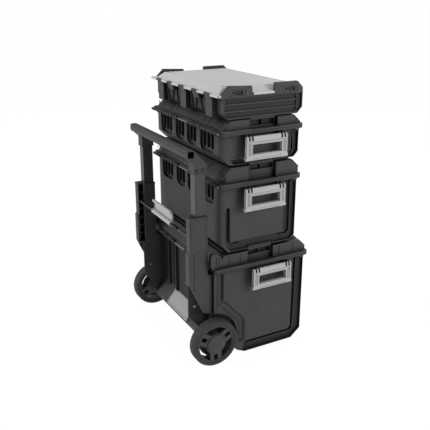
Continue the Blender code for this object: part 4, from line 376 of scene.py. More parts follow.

# Each moulded plastic lists its colour, a paler colour for random marks and for a painted edge
# highlight mixed with wear, a near-black colour of painted shade for its hollows, and its
# roughness.
FINISHES = {
    finish.slot: finish
    for finish in (
        MouldedPlastic(
            "black_plastic", (0.028, 0.028, 0.029), (0.075, 0.075, 0.077), BLACK_PAINTED_SHADE, 0.56
        ),
        MouldedPlastic(
            "dark_plastic", (0.028, 0.028, 0.029), (0.060, 0.060, 0.062), BLACK_PAINTED_SHADE, 0.50
        ),
        MouldedPlastic(
            "latch_grey", (0.400, 0.400, 0.400), (0.470, 0.470, 0.470), (0.10, 0.10, 0.10), 0.46,
            painted_shade_reach=9.0 * MM,
        ),
        MouldedPlastic(
            "lid_grey", (0.480, 0.480, 0.480), (0.540, 0.540, 0.540), (0.25, 0.25, 0.25), 0.44,
            painted_shade_reach=9.0 * MM,
        ),
        MouldedPlastic(
            "kick_grey", (0.330, 0.330, 0.330), (0.390, 0.390, 0.390), (0.10, 0.10, 0.10), 0.55,
            painted_shade_reach=9.0 * MM,
        ),
        CoatedTube("black_tube", (0.026, 0.026, 0.027), (0.040, 0.040, 0.042)),
        # Near-black plastic that stands for shade in recesses: painted shade.
        MouldedPlastic(
            PAINTED_SHADE, (0.010, 0.010, 0.0105), (0.020, 0.020, 0.021), BLACK_PAINTED_SHADE, 0.62
        ),
        MouldedPlastic(
            HUB_PLASTIC, (0.030, 0.030, 0.031), (0.070, 0.070, 0.072), BLACK_PAINTED_SHADE, 0.50,
            painted_shade_reach=10.0 * MM,
        ),
        PlatedSteel("steel", (0.520, 0.520, 0.530)),
        PlatedSteel(BLACKENED, (0.070, 0.070, 0.074)),
        SoftRubber("tyre", (0.026, 0.026, 0.027), (0.040, 0.040, 0.041)),
        SoftRubber("seal_rubber", (0.022, 0.022, 0.023), (0.032, 0.032, 0.033)),
    )
}


def strip(path: Sequence[Flat], width: float) -> list[Flat]:
    """Outline of a rib of even width that follows an open path of flat points.

    Args:
        path: Points along the middle of the rib.
        width: Width of the rib.

    Returns:
        Points round the rib.
    """
    spots = [Vector(point) for point in path]
    runs = [(b - a).normalized() for a, b in zip(spots, spots[1:])]
    sides: list[Vector] = []
    for before, after in zip([runs[0], *runs], [*runs, runs[-1]]):
        middle = (before + after).normalized()
        out = Vector((-middle.y, middle.x))
        sides.append(out * (width / 2 / max(middle.dot(after), MITRE_LIMIT)))
    left = [tuple(spot + side) for spot, side in zip(spots, sides)]
    right = [tuple(spot - side) for spot, side in zip(spots, sides)]
    return [*left, *reversed(right)]


class Form:
    """Small moulded solids gathered in one mesh, each with its own rounded edges."""

    def __init__(self) -> None:
        """Start empty."""
        self.shape = bmesh.new()

    def prism(
        self,
        axis: Axis,
        points: Sequence[Flat],
        start: float,
        end: float,
        edge: float = 0.0,
    ) -> Form:
        """Push a flat outline along an axis.

        Args:
            axis: Direction of the push.
            points: The outline, on the other two axes.
            start: Where it starts.
            end: Where it ends, on either side of the start.
            edge: Width of the bevel on all its edges.

        Returns:
            This form, so that calls can follow each other.
        """
        _, across, up = axis.value
        rings = []
        for level in sorted((start, end)):
            ring = []
            for first, second in points:
                spot = [level, level, level]
                spot[across], spot[up] = first, second
                ring.append(self.shape.verts.new(spot))
            rings.append(ring)
        low, high = rings
        faces = [self.shape.faces.new(low), self.shape.faces.new(high)]
        for index, corner in enumerate(low):
            after = (index + 1) % len(low)
            faces.append(self.shape.faces.new((corner, low[after], high[after], high[index])))
        bmesh.ops.recalc_face_normals(self.shape, faces=faces)
        if edge:
            sides = dict.fromkeys(side for face in faces for side in face.edges)
            bmesh.ops.bevel(
                self.shape, geom=list(sides), offset=edge, segments=1, profile=0.5,
                affect="EDGES", clamp_overlap=True,
            )
        return self

    def block(self, low: Point, high: Point, edge: float = 0.0) -> Form:
        """Add a block between two corners, given in any order."""
        (x0, x1), (y0, y1), (z0, z1) = (sorted(pair) for pair in zip(low, high))
        return self.prism(Axis.Z, [(x0, y0), (x1, y0), (x1, y1), (x0, y1)], z0, z1, edge)

    def rod(
        self, axis: Axis, spot: Flat, radius: float, start: float, end: float,
        sides: int = 16, edge: float = 0.0,
    ) -> Form:
        """Add a round bar with so many sides along an axis."""
        turns = [2 * math.pi * index / sides for index in range(sides)]
        points = [
            (spot[0] + radius * math.cos(turn), spot[1] + radius * math.sin(turn))
            for turn in turns
        ]
        return self.prism(axis, points, start, end, edge)

    def rib(
        self, axis: Axis, path: Sequence[Flat], width: float, start: float, end: float,
        edge: float = 0.3 * MM,
    ) -> Form:
        """Add a rib that follows a path and stands along an axis."""
        return self.prism(axis, strip(path, width), start, end, edge)

    def frame(
        self, axis: Axis, low: Flat, high: Flat, width: float, start: float, end: float,
        edge: float = 0.3 * MM,
    ) -> Form:
        """Add four bars round the outside of a rectangle.

        Args:
            axis: Direction in which the bars stand.
            low: One corner of the rectangle, on the other two axes.
            high: The opposite corner.
            width: Width of the bars.
            start: Where they start.
            end: Where they end.
            edge: Width of the bevel on their edges.

        Returns:
            This form.
        """
        (u0, v0), (u1, v1) = low, high
        bars = (
            ((u0 - width, v0 - width), (u1 + width, v0)),
            ((u0 - width, v1), (u1 + width, v1 + width)),
            ((u0 - width, v0), (u0, v1)),
            ((u1, v0), (u1 + width, v1)),
        )
        for (a, b), (c, d) in bars:
            self.prism(axis, [(a, b), (c, b), (c, d), (a, d)], start, end, edge)
        return self

    def ring(
        self, axis: Axis, spot: Flat, radii: Flat, start: float, end: float, sides: int = 48
    ) -> Form:
        """Add a flat ring round an axis.

        Args:
            axis: The axis.
            spot: Its place on the other two axes.
            radii: Inner and outer radius.
            start: Where the ring starts along the axis.
            end: Where it ends.
            sides: Number of sides.

        Returns:
            This form.
        """
        _, across, up = axis.value
        inner, outer = radii
        section = ((inner, start), (outer, start), (outer, end), (inner, end))
        rows = []
        for index in range(sides):
            turn = 2 * math.pi * index / sides
            row = []
            for radius, level in section:
                point = [level, level, level]
                point[across] = spot[0] + radius * math.cos(turn)
                point[up] = spot[1] + radius * math.sin(turn)
                row.append(self.shape.verts.new(point))
            rows.append(row)
        faces = []
        for one, two in zip(rows, [*rows[1:], rows[0]]):
            for index in range(len(section)):
                after = (index + 1) % len(section)
                faces.append(
                    self.shape.faces.new((one[index], two[index], two[after], one[after]))
                )
        bmesh.ops.recalc_face_normals(self.shape, faces=faces)
        return self

    def moved(self, matrix: Matrix) -> Form:
        """Move and turn everything gathered so far."""
        self.shape.transform(matrix)
        return self

    def add(self, mesh: bpy.types.Mesh, shift: Point = (0.0, 0.0, 0.0)) -> Form:
        """Add another mesh, moved by a shift."""
        mesh.transform(Matrix.Translation(shift))
        self.shape.from_mesh(mesh)
        return self

    def mesh(self, name: str) -> bpy.types.Mesh:
        """Close the form and hand over its mesh."""
        mesh = bpy.data.meshes.new(name)
        self.shape.to_mesh(mesh)
        self.shape.free()
        return mesh


class RowMaker:
    """Geometry Nodes tree that sets copies of a small form along a line or round an axis."""

    def __init__(self) -> None:
        """Build the tree with its named inputs."""
        tree = bpy.data.node_groups.new("row_of_forms", "GeometryNodeTree")
        kinds = {
            "Form": "NodeSocketGeometry", "Count": "NodeSocketInt", "Step": "NodeSocketVector",
            "Turn": "NodeSocketVector", "Finish": "NodeSocketMaterial",
        }
        made = {
            name: tree.interface.new_socket(name, in_out="INPUT", socket_type=kind)
            for name, kind in kinds.items()
        }
        tree.interface.new_socket("Row", in_out="OUTPUT", socket_type="NodeSocketGeometry")
        self.tree = tree
        self.sockets = {name: socket.identifier for name, socket in made.items()}
        names = (
            "NodeGroupInput", "GeometryNodeMeshLine", "GeometryNodeInputIndex",
            "ShaderNodeVectorMath", "GeometryNodeInstanceOnPoints",
            "GeometryNodeRealizeInstances", "GeometryNodeSetMaterial", "NodeGroupOutput",
        )
        given, line, index, turn, put, real, paint, out = (tree.nodes.new(name) for name in names)
        line.mode = "OFFSET"
        turn.operation = "SCALE"
        for source, target in (
            (given.outputs["Count"], line.inputs["Count"]),
            (given.outputs["Step"], line.inputs["Offset"]),
            (given.outputs["Turn"], turn.inputs["Vector"]),
            (index.outputs[0], turn.inputs["Scale"]),
            (line.outputs[0], put.inputs["Points"]),
            (given.outputs["Form"], put.inputs["Instance"]),
            (turn.outputs[0], put.inputs["Rotation"]),
            (put.outputs[0], real.inputs[0]),
            (real.outputs[0], paint.inputs["Geometry"]),
            (given.outputs["Finish"], paint.inputs["Material"]),
            (paint.outputs[0], out.inputs[0]),
        ):
            tree.links.new(source, target)

    def row(
        self,
        form: Form,
        count: int,
        finish: bpy.types.Material,
        step: Point = (0.0, 0.0, 0.0),
        turn: Point = (0.0, 0.0, 0.0),
    ) -> bpy.types.Mesh:
        """Repeat a form.

        Args:
            form: The form at the start of the row, which this call uses up.
            count: Number of copies.
            finish: Material of the row.
            step: Shift from each copy to the next.
            turn: Turn from each copy to the next, about the origin, in radians.

        Returns:
            A plain mesh of the whole row.
        """
        item = bpy.data.objects.new("row", form.mesh("row"))
        bpy.context.scene.collection.objects.link(item)
        modifier = item.modifiers.new("row", "NODES")
        modifier.node_group = self.tree
        given = {"Count": count, "Step": step, "Turn": turn, "Finish": finish}
        for name, value in given.items():
            modifier[self.sockets[name]] = value
        graph = bpy.context.evaluated_depsgraph_get()
        mesh = bpy.data.meshes.new_from_object(item.evaluated_get(graph))
        bpy.data.objects.remove(item, do_unlink=True)
        return mesh


class Workshop:
    """Finishes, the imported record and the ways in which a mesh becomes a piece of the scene."""

    def __init__(self) -> None:
        """Build every finish once and note each node's body and material slot."""
        self.finishes = {slot: finish.build() for slot, finish in FINISHES.items()}
        record = frame["record"]
        self.slots = {row["node"]: row["material_slot"] for row in record["subparts"]}
        self.bodies = {
            node: body for body, nodes in record["behaviour"]["bodies"].items() for node in nodes
        }
        self.rows = RowMaker()
        self.shown: set[str] = set()

    def row(
        self, form: Form, count: int, step: Point = (0.0, 0.0, 0.0),
        turn: Point = (0.0, 0.0, 0.0), slot: str = "black_plastic",
    ) -> bpy.types.Mesh:
        """Row of a form in one of the finishes."""
        return self.rows.row(form, count, self.finishes[slot], step, turn)

    def piece(
        self, name: str, mesh: bpy.types.Mesh, slot: str, body: str, finish: str = ""
    ) -> bpy.types.Object:
        """Make a mesh a piece that rides on a body.

        Args:
            name: Name of the piece.
            mesh: Its mesh, already in place.
            slot: Material slot of the record.
            body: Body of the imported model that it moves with.
            finish: Its finish, where that isn't the one named like the slot.

        Returns:
            The new object.
        """
        mesh.materials.clear()
        mesh.materials.append(self.finishes[finish or slot])
        mesh.shade_smooth()
        mark_creases(mesh)
        item = bpy.data.objects.new(name, mesh)
        bpy.context.scene.collection.objects.link(item)
        smooth = item.modifiers.new("even_shading", "WEIGHTED_NORMAL")
        smooth.keep_sharp = True
        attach(item, body)
        LOG.info("%s rides on %s in %s", name, body, slot)
        return item

    def dress(self, node: str, suffix: str, form: Form, finish: str = "") -> bpy.types.Object:
        """Add moulded detail to a node, which rides where the node does."""
        name = f"{node}_{suffix}"
        return self.piece(name, form.mesh(name), self.slots[node], self.bodies[node], finish)

    def take_over(
        self, node: str, edge: float, cutter: Form | None = None, finish: str = ""
    ) -> bpy.types.Object:
        """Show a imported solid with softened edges, and with slots and hollows cut in it.

        Args:
            node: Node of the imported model.
            edge: Width of the rounding along its sharp edges.
            cutter: Solids to cut from it.
            finish: Its finish, where that isn't the one named like its slot.

        Returns:
            The piece that stands for the node.
        """
        mesh = merged_copy(node)
        if cutter is not None:
            mesh = carved(mesh, cutter)
        soften(mesh, edge)
        soften(mesh, edge * SECOND_EDGE_SHARE)
        item = self.piece(f"{node}_shown", mesh, self.slots[node], self.bodies[node], finish)
        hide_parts(node)
        self.shown.add(node)
        return item

    def take_over_rest(self, edge: float) -> None:
        """Show every node that no class has shown yet, with softened edges."""
        for node in sorted(set(self.slots) - self.shown):
            self.take_over(node, edge)


def merged_copy(node: str) -> bpy.types.Mesh:
    """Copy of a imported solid's mesh with its corners merged and its flat faces made whole."""
    shape = bmesh.new()
    shape.from_mesh(frame["nodes"][node].data)
    bmesh.ops.remove_doubles(shape, verts=shape.verts, dist=MERGE)
    bmesh.ops.dissolve_limit(
        shape, angle_limit=FLAT_ANGLE, verts=shape.verts, edges=shape.edges
    )
    mesh = bpy.data.meshes.new(f"{node}_shown")
    shape.to_mesh(mesh)
    shape.free()
    return mesh


def carved(mesh: bpy.types.Mesh, cutter: Form) -> bpy.types.Mesh:
    """Cut a form from a closed mesh.

    Args:
        mesh: The mesh that loses material.
        cutter: The solids that take it away.

    Returns:
        The cut mesh.
    """
    item = bpy.data.objects.new("blank", mesh)
    tool = bpy.data.objects.new("cutter", cutter.mesh("cutter"))
    for thing in (item, tool):
        bpy.context.scene.collection.objects.link(thing)
    step = item.modifiers.new("cut", "BOOLEAN")
    step.operation = "DIFFERENCE"
    step.solver = "EXACT"
    step.use_self = True
    step.object = tool
    graph = bpy.context.evaluated_depsgraph_get()
    result = bpy.data.meshes.new_from_object(item.evaluated_get(graph))
    result.name = mesh.name
    for thing in (item, tool):
        bpy.data.objects.remove(thing, do_unlink=True)
    return result


def edge_rooms(face: bmesh.types.BMFace) -> dict[int, float]:
    """Free distance beside each edge of a face, up to the next edge that it doesn't meet.

    Args:
        face: A face with any number of corners.

    Returns:
        The distance for the index of each edge.
    """
    start = np.array([loop.vert.co for loop in face.loops])
    run = np.roll(start, -1, axis=0) - start
    square = (run * run).sum(axis=1)

    def gaps(spots: np.ndarray) -> np.ndarray:
        """Distance from each spot to each edge."""
        share = ((spots[:, None] - start[None]) * run[None]).sum(axis=2) / square[None]
        near = start[None] + np.clip(share, 0.0, 1.0)[..., None] * run[None]
        return np.linalg.norm(spots[:, None] - near, axis=2)

    gap = np.minimum(gaps(start), gaps(start + run))
    gap = np.minimum(gap, gap.T)
    count = len(start)
    for index in range(count):
        gap[index, [index - 1, index, (index + 1) % count]] = math.inf
    return {loop.edge.index: float(row.min()) for loop, row in zip(face.loops, gap)}


def soften(mesh: bpy.types.Mesh, edge: float) -> None:
    """Round the sharp edges of a mesh wherever there is room for it.

    Args:
        mesh: The mesh, which is changed.
        edge: Width of the rounding.
    """
    shape = bmesh.new()
    shape.from_mesh(mesh)
    shape.edges.index_update()
    room = ROOM_SHARE * edge
    free: dict[int, float] = {}
    for face in shape.faces:
        for index, gap in edge_rooms(face).items():
            free[index] = min(gap, free.get(index, math.inf))

    def roomy(side: bmesh.types.BMEdge) -> bool:
        """Whether an edge is sharp, with no other edge too near it and no short one at it."""
        if not side.is_manifold or side.calc_face_angle(0.0) < CREASE_ANGLE:
            return False
        near = [other.calc_length() for vert in side.verts for other in vert.link_edges]
        return free[side.index] > room and min(near) > room

    bmesh.ops.bevel(
        shape, geom=[side for side in shape.edges if roomy(side)], offset=edge, segments=2,
        profile=0.5, affect="EDGES", clamp_overlap=False, loop_slide=False,
    )
    shape.to_mesh(mesh)
    shape.free()


def mark_creases(mesh: bpy.types.Mesh) -> None:
    """Mark the edges that stay sharp, so that flat faces keep flat shading."""
    shape = bmesh.new()
    shape.from_mesh(mesh)
    for side in shape.edges:
        side.smooth = side.is_manifold and side.calc_face_angle(0.0) < SEAM_ANGLE
    shape.to_mesh(mesh)
    shape.free()


@dataclass(frozen=True)
class Levels:
    """Heights of one unit: its floor, parting line, lid edge and the seat of the next unit."""

    floor: float
    parting: float
    edge: float
    seat: float
    rim_band: float = 8.0 * MM

    @property
    def rim_low(self) -> float:
        """Underside of the rim."""
        return self.parting - self.rim_band

    @property
    def rim_top(self) -> float:
        """Top of the rim of the lid."""
        return self.parting + self.rim_band


BIN = Levels(0.0, 0.3630, 0.4140, 0.4205)
MEDIUM = Levels(0.4208, 0.6683, 0.7273, 0.7338)
SMALL = Levels(0.7341, 0.8471, 0.8851, 0.8876)
ORGANIZER = Levels(0.8879, 0.9624, 0.9889, 0.9889)


@dataclass
class Shell:
    """Forms that all four units share: walls, rims, hinge combs and notches in the lids."""

    shop: Workshop
    name: str
    levels: Levels
    wall: float = 0.260
    rim: float = 0.280
    lid_side: float = 0.266
    front: float = 0.158
    rear: float = 0.155
    comb: Flat = (0.045, 0.270)
    comb_pin: float = 0.168
    knuckles: int = 5
    body_edge: float = 1.2 * MM
    lid_edge: float = 1.0 * MM
    proud: float = 1.6 * MM
    rib_width: float = 2.4 * MM
    channel: float = 0.250
    embed: float = 0.8 * MM
    notch_middle: float = -0.0075
    notch_half: float = 0.054
    notch_face: float = 0.252
    bar_face: float = 0.2585
    bar_half: float = 0.048
    cell_shares: tuple[Flat, ...] = ((0.16, 0.46), (0.58, 0.88))
    lid_lines: tuple[float, ...] = (-0.065, 0.045, 0.138)
    lid_line_gap: float = 9.0 * MM
    seat_span: Flat = (-0.09, 0.08)
    seat_rows: int = 11
    seat_pitch: float = 0.0394
    floor_reach: float = 0.42
    panel_half: float = 0.214
    panel_post: Flat = (0.108, 0.1105)
    panel_pitch: float = 7.0 * MM

    def side_rib(self, form: Form, path: Sequence[Flat], base: float, top: float) -> None:
        """Put one rib on both sides.

        Args:
            form: The form that gains the ribs.
            path: Points (y, z) along the rib.
            base: Distance of the plane it stands on from the middle of the stack.
            top: Distance of its outer face.
        """
        for side in SIDES:
            form.rib(Axis.X, path, self.rib_width, side * (base - self.embed), side * top)

    def comb_cells(self) -> Form:
        """Cells cut in the hinge barrels from behind, which leave thin webs between them."""
        low, high = self.comb
        pitch = (high - low) / self.knuckles
        pin, z = self.comb_pin, self.levels.parting
        cutter = Form()
        for side in SIDES:
            for near, far in self.cell_shares:
                cell = Form().block(
                    (side * (low + near * pitch), pin + 2.4 * MM, z - 3.6 * MM),
                    (side * (low + far * pitch), pin + 12.0 * MM, z + 12.0 * MM),
                )
                cutter.add(self.shop.row(cell, self.knuckles, (side * pitch, 0.0, 0.0)))
        return cutter

    def rear_liners(
        self, form: Form, spans: Sequence[Flat], low: float, high: float, plane: float
    ) -> None:
        """Thin rough plates of painted shade on the floors of the rear hollows, on both sides.

        Args:
            form: The form that gains the plates.
            spans: Pairs of distances from the middle, where each plate starts and ends.
            low: Foot of the plates.
            high: Top of the plates.
            plane: Place of the floor of the hollow.
        """
        for side in SIDES:
            for near, far in spans:
                form.block(
                    (side * near, plane - 0.5 * MM, low), (side * far, plane + 0.5 * MM, high)
                )

    def channel_liners(self, form: Form, band: Sequence[Flat]) -> None:
        """Thin rough plate of painted shade on the floor of each side channel, with an outline (y,
        z).
        """
        for side in SIDES:
            start, end = side * (self.channel - 0.5 * MM), side * (self.channel + 0.5 * MM)
            form.prism(Axis.X, band, start, end)

    def comb_webs(self, form: Form) -> None:
        """Row of small webs under the hinge, between the rim and the rear wall."""
        low, high = self.comb
        pitch = (high - low) / (2 * self.knuckles)
        top = self.levels.rim_low + self.embed
        web = [
            (self.rear - self.embed, top), (self.rear + 4.6 * MM, top),
            (self.rear + 1.2 * MM, top - 8.0 * MM), (self.rear - self.embed, top - 9.0 * MM),
        ]
        for side in SIDES:
            one = Form().prism(Axis.X, web, side * low, side * (low + 1.6 * MM), 0.3 * MM)
            form.add(self.shop.row(one, 2 * self.knuckles, (side * pitch, 0.0, 0.0)))

    def notch_frames(self, form: Form) -> None:
        """Thin raised frames round the two dark windows in each side notch of a lid."""
        low = self.notch_middle - self.notch_half + 7.0 * MM
        high = self.notch_middle + self.notch_half - 7.0 * MM
        top = self.levels.seat - 8.5 * MM
        bottom = max(top - 18.5 * MM, self.levels.rim_top + 3.5 * MM)
        for side in SIDES:
            form.frame(
                Axis.X, (low, bottom), (high, top), 1.5 * MM,
                side * (self.notch_face - self.embed), side * (self.notch_face + 1.0 * MM),
            )

    def block_edges(self, form: Form, front: float, rear_top: float, rear: float) -> None:
        """Fine ribs along the edges of the lid's side, before and behind its notch.

        Args:
            form: The form that gains the ribs.
            front: Front of the lid.
            rear_top: Rear end of its flat top.
            rear: Rear of the lid.
        """
        low, top = self.levels.rim_top + 0.6 * MM, self.levels.edge - 1.6 * MM
        in_front = self.notch_middle - self.notch_half - 1.4 * MM
        behind = self.notch_middle + self.notch_half + 1.4 * MM
        slope = min(rear - rear_top, top - low) - 1.5 * MM
        corner = [(front + 28.6 * MM, top), (front + 1.8 * MM, top - 26.4 * MM)]
        for path in (
            [(in_front, low), (in_front, top), *corner],
            [(behind, low), (behind, top), (rear_top, top), (rear_top + slope, top - slope)],
        ):
            self.side_rib(form, path, self.lid_side, self.lid_side + 1.0 * MM)

    def window_liners(self) -> Form:
        """Rough plates of painted shade behind the two windows in each side notch of a lid."""
        form = Form()
        low = self.notch_middle - self.notch_half + 7.6 * MM
        high = self.notch_middle + self.notch_half - 7.6 * MM
        top = self.levels.seat - 9.0 * MM
        bottom = max(top - 17.5 * MM, self.levels.rim_top + 4.0 * MM)
        floor = self.notch_face - 10.0 * MM
        for side in SIDES:
            form.block(
                (side * (floor - 0.5 * MM), low, bottom), (side * (floor + 0.6 * MM), high, top)
            )
        return form

    def bar_frames(self, form: Form) -> None:
        """Thin raised frame and a middle web on the face of each catch bar."""
        low, high = self.notch_middle - self.bar_half, self.notch_middle + self.bar_half
        floor = self.levels.floor
        for side in SIDES:
            near, far = side * (self.bar_face - self.embed), side * (self.bar_face + 0.9 * MM)
            form.frame(
                Axis.X, (low + 2.4 * MM, floor - 6.0 * MM), (high - 2.4 * MM, floor + 6.4 * MM),
                1.5 * MM, near, far,
            )
            web = Form().block(
                (near, low + 24.0 * MM, floor - 6.4 * MM),
                (far, low + 25.4 * MM, floor + 6.8 * MM), 0.3 * MM,
            )
            form.add(self.shop.row(web, 3, (0.0, 23.3 * MM, 0.0)))

    def rim_tabs(self, form: Form) -> None:
        """Short steps under the rim near the front corners."""
        low = self.levels.rim_low
        for side in SIDES:
            form.block(
                (side * (self.wall - self.embed), -self.front + 14.0 * MM, low + self.embed),
                (side * (self.rim - 1.2 * MM), -self.front + 30.0 * MM, low - 6.5 * MM), 0.8 * MM,
            )

    def rim_lines(self, form: Form, proud: float) -> None:
        """Fine raised line along the side rims, which catches the light.

        Args:
            form: The form that gains the lines.
            proud: How far they stand out.
        """
        z = self.levels.parting - 6.6 * MM
        for side in SIDES:
            form.block(
                (side * (self.rim - self.embed), -self.front + 10.0 * MM, z),
                (side * (self.rim + proud), self.rear - 8.0 * MM, z + 1.4 * MM), 0.3 * MM,
            )

    def floor_ribs(self, form: Form, span: Flat, count: int) -> None:
        """Low ribs across the inside of the floor.

        Args:
            form: The form that gains the ribs.
            span: Front and rear end of the ribs.
            count: Number of ribs.
        """
        z = self.levels.floor + 3.5 * MM
        step = self.floor_reach / (count - 1)
        rib = Form().block(
            (-0.211, span[0], z - self.embed), (-0.2085, span[1], z + 2.2 * MM), 0.4 * MM
        )
        form.add(self.shop.row(rib, count, (step, 0.0, 0.0)))

    def lid_uprights(self, form: Form) -> None:
        """Upright lines on the sides of the lid."""
        low, high = self.levels.rim_top + 1.0 * MM, self.levels.edge - self.lid_line_gap
        for place in self.lid_lines:
            self.side_rib(
                form, [(place, low), (place, high)], self.lid_side, self.lid_side + self.proud
            )

    def seat_ribs(self, form: Form) -> None:
        """Low ribs in long rows on the seat, under the next unit."""
        z, (front, rear) = self.levels.seat, self.seat_span
        rib = Form().block((-0.20, front, z - 1.0 * MM), (-0.197, rear, z + 0.2 * MM))
        form.add(self.shop.row(rib, self.seat_rows, (self.seat_pitch, 0.0, 0.0)))

    def front_panel(self, form: Form, low: float, high: float) -> None:
        """Raised frame and paired uprights on the front wall.

        Args:
            form: The form that gains them.
            low: Lower edge of the panel.
            high: Upper edge of the panel.
        """
        near, far = -self.front + self.embed, -self.front - self.proud
        half, (inner, outer) = self.panel_half, self.panel_post
        form.frame(Axis.Y, (-half, low), (half, high), self.rib_width, near, far)
        for side in SIDES:
            post = Form().block(
                (side * inner, near, low - self.embed),
                (side * outer, far, high + self.embed), 0.3 * MM,
            )
            form.add(self.shop.row(post, 2, (side * self.panel_pitch, 0.0, 0.0)))


@dataclass
class StackBox(Shell):
    """Medium or small box: a ribbed body and the lid that carries the next unit."""

    panel_ribs: tuple[tuple[Flat, ...], ...] = ()
    channel_ribs: tuple[tuple[Flat, ...], ...] = ()
    pocket_ribs: tuple[float, ...] = (0.034, 0.061, 0.136, 0.165, 0.194)
    pocket_depth: float = 9.5 * MM
    pocket_spans: tuple[Flat, ...] = ((0.010, 0.085), (0.115, 0.216))
    slope_ribs: tuple[float, ...] = (0.111, 0.148, 0.230)
    panel_low: float = 0.037
    panel_front: float = -0.125
    channel_rear: float = 0.130
    flange: float = 4.0 * MM
    lid_rear_top: float = 0.118

    def build(self) -> None:
        """Show the body and the lid with all their moulded detail."""
        body = f"{self.name}_body"
        self.shop.take_over(body, self.body_edge, self.panel_groove())
        self.shop.dress(body, "ribs", self.body_ribs())
        # Sheets of painted shade on the floors of the rear pockets and side channels.
        self.shop.dress(body, "liners", self.pocket_liners(), PAINTED_SHADE)
        lid = f"{self.name}_lid"
        self.shop.take_over(lid, self.lid_edge, self.comb_cells())
        self.shop.dress(lid, "ribs", self.lid_ribs())
        # Sheets of painted shade behind the windows of the lid.
        self.shop.dress(lid, "liners", self.window_liners(), PAINTED_SHADE)

    def panel_groove(self) -> Form:
        """Groove that sets the side panel back from its channel, and the comb's cells."""
        cutter = self.comb_cells()
        low, top = self.levels.floor + self.panel_low, self.levels.rim_low - 2.0 * MM
        if self.panel_front > PACKED_PANEL_FRONT:
            near, far = PACKED_PANEL_FRONT - 2.0 * MM, self.panel_front
            groove = [
                (near, low - 2.0 * MM), (near, top), (far, top), (far, low + 10.0 * MM),
                (far - 12.0 * MM, low - 2.0 * MM),
            ]
            for side in SIDES:
                start, end = side * (self.channel + 0.3 * MM), side * (self.wall + 4.0 * MM)
                cutter.prism(Axis.X, groove, start, end)
        return cutter

    def channel_band(self) -> list[Flat]:
        """Outline of the floor of the channel round the side panel."""
        foot = self.levels.floor + self.flange + 0.4 * MM
        low, top = self.levels.floor + self.panel_low, self.levels.rim_low - 2.4 * MM
        near = -self.front + self.flange + 0.4 * MM
        far = self.panel_front - 0.4 * MM
        return [
            (near + 17.6 * MM, foot), (near, foot + 17.6 * MM), (near, top), (far, top),
            (far, low + 10.0 * MM), (far + 10.0 * MM, low - 0.4 * MM),
            (self.channel_rear - 18.0 * MM, low - 0.4 * MM), (self.channel_rear - 18.0 * MM, foot),
        ]

    def body_ribs(self) -> Form:
        """Ribs along the side panels, in the rear pockets, on the front and on the floor."""
        form = Form()
        for path in self.panel_ribs:
            self.side_rib(form, path, self.wall, self.wall + self.proud)
        for path in self.channel_ribs:
            self.side_rib(form, path, self.channel, self.wall - self.proud)
        self.pockets(form)
        self.comb_webs(form)
        self.bar_frames(form)
        self.rim_tabs(form)
        self.rim_lines(form, 0.7 * MM)
        self.floor_ribs(form, (-0.12, 0.10), 9)
        low = self.levels.floor + 30.0 * MM
        self.front_panel(form, low, self.levels.rim_low - 12.0 * MM)
        return form

    def pockets(self, form: Form) -> None:
        """Upright ribs inside the rear pockets."""
        top = self.levels.rim_low - 1.0 * MM
        low = self.levels.parting - 66.0 * MM
        deep = self.rear - self.pocket_depth
        for side in SIDES:
            for place in self.pocket_ribs:
                form.block(
                    (side * place, deep - self.embed, low),
                    (side * (place + 2.2 * MM), self.rear - 0.6 * MM, top), 0.3 * MM,
                )

    def pocket_liners(self) -> Form:
        """Rough plates of painted shade on the floors of the rear pockets and of the side
        channels.
        """
        form = Form()
        self.channel_liners(form, self.channel_band())
        spans = tuple((near + 1.0 * MM, far - 1.0 * MM) for near, far in self.pocket_spans)
        low = self.levels.parting - 58.0 * MM
        plane = self.rear - self.pocket_depth
        self.rear_liners(form, spans, low, self.levels.rim_low - 1.0 * MM, plane)
        return form

    def lid_ribs(self) -> Form:
        """Upright lines on the lid's sides, frames of its windows and ribs on its seat."""
        form = Form()
        self.lid_uprights(form)
        self.block_edges(form, -self.front, self.lid_rear_top, self.rear)
        self.notch_frames(form)
        self.seat_ribs(form)
        slope_top = self.levels.edge - 4.0 * MM
        path = [(0.1225, slope_top), (0.1445, slope_top - 22.0 * MM)]
        for side in SIDES:
            for place in self.slope_ribs:
                form.rib(Axis.X, path, 2.2 * MM, side * place, side * (place + 1.8 * MM))
        return form


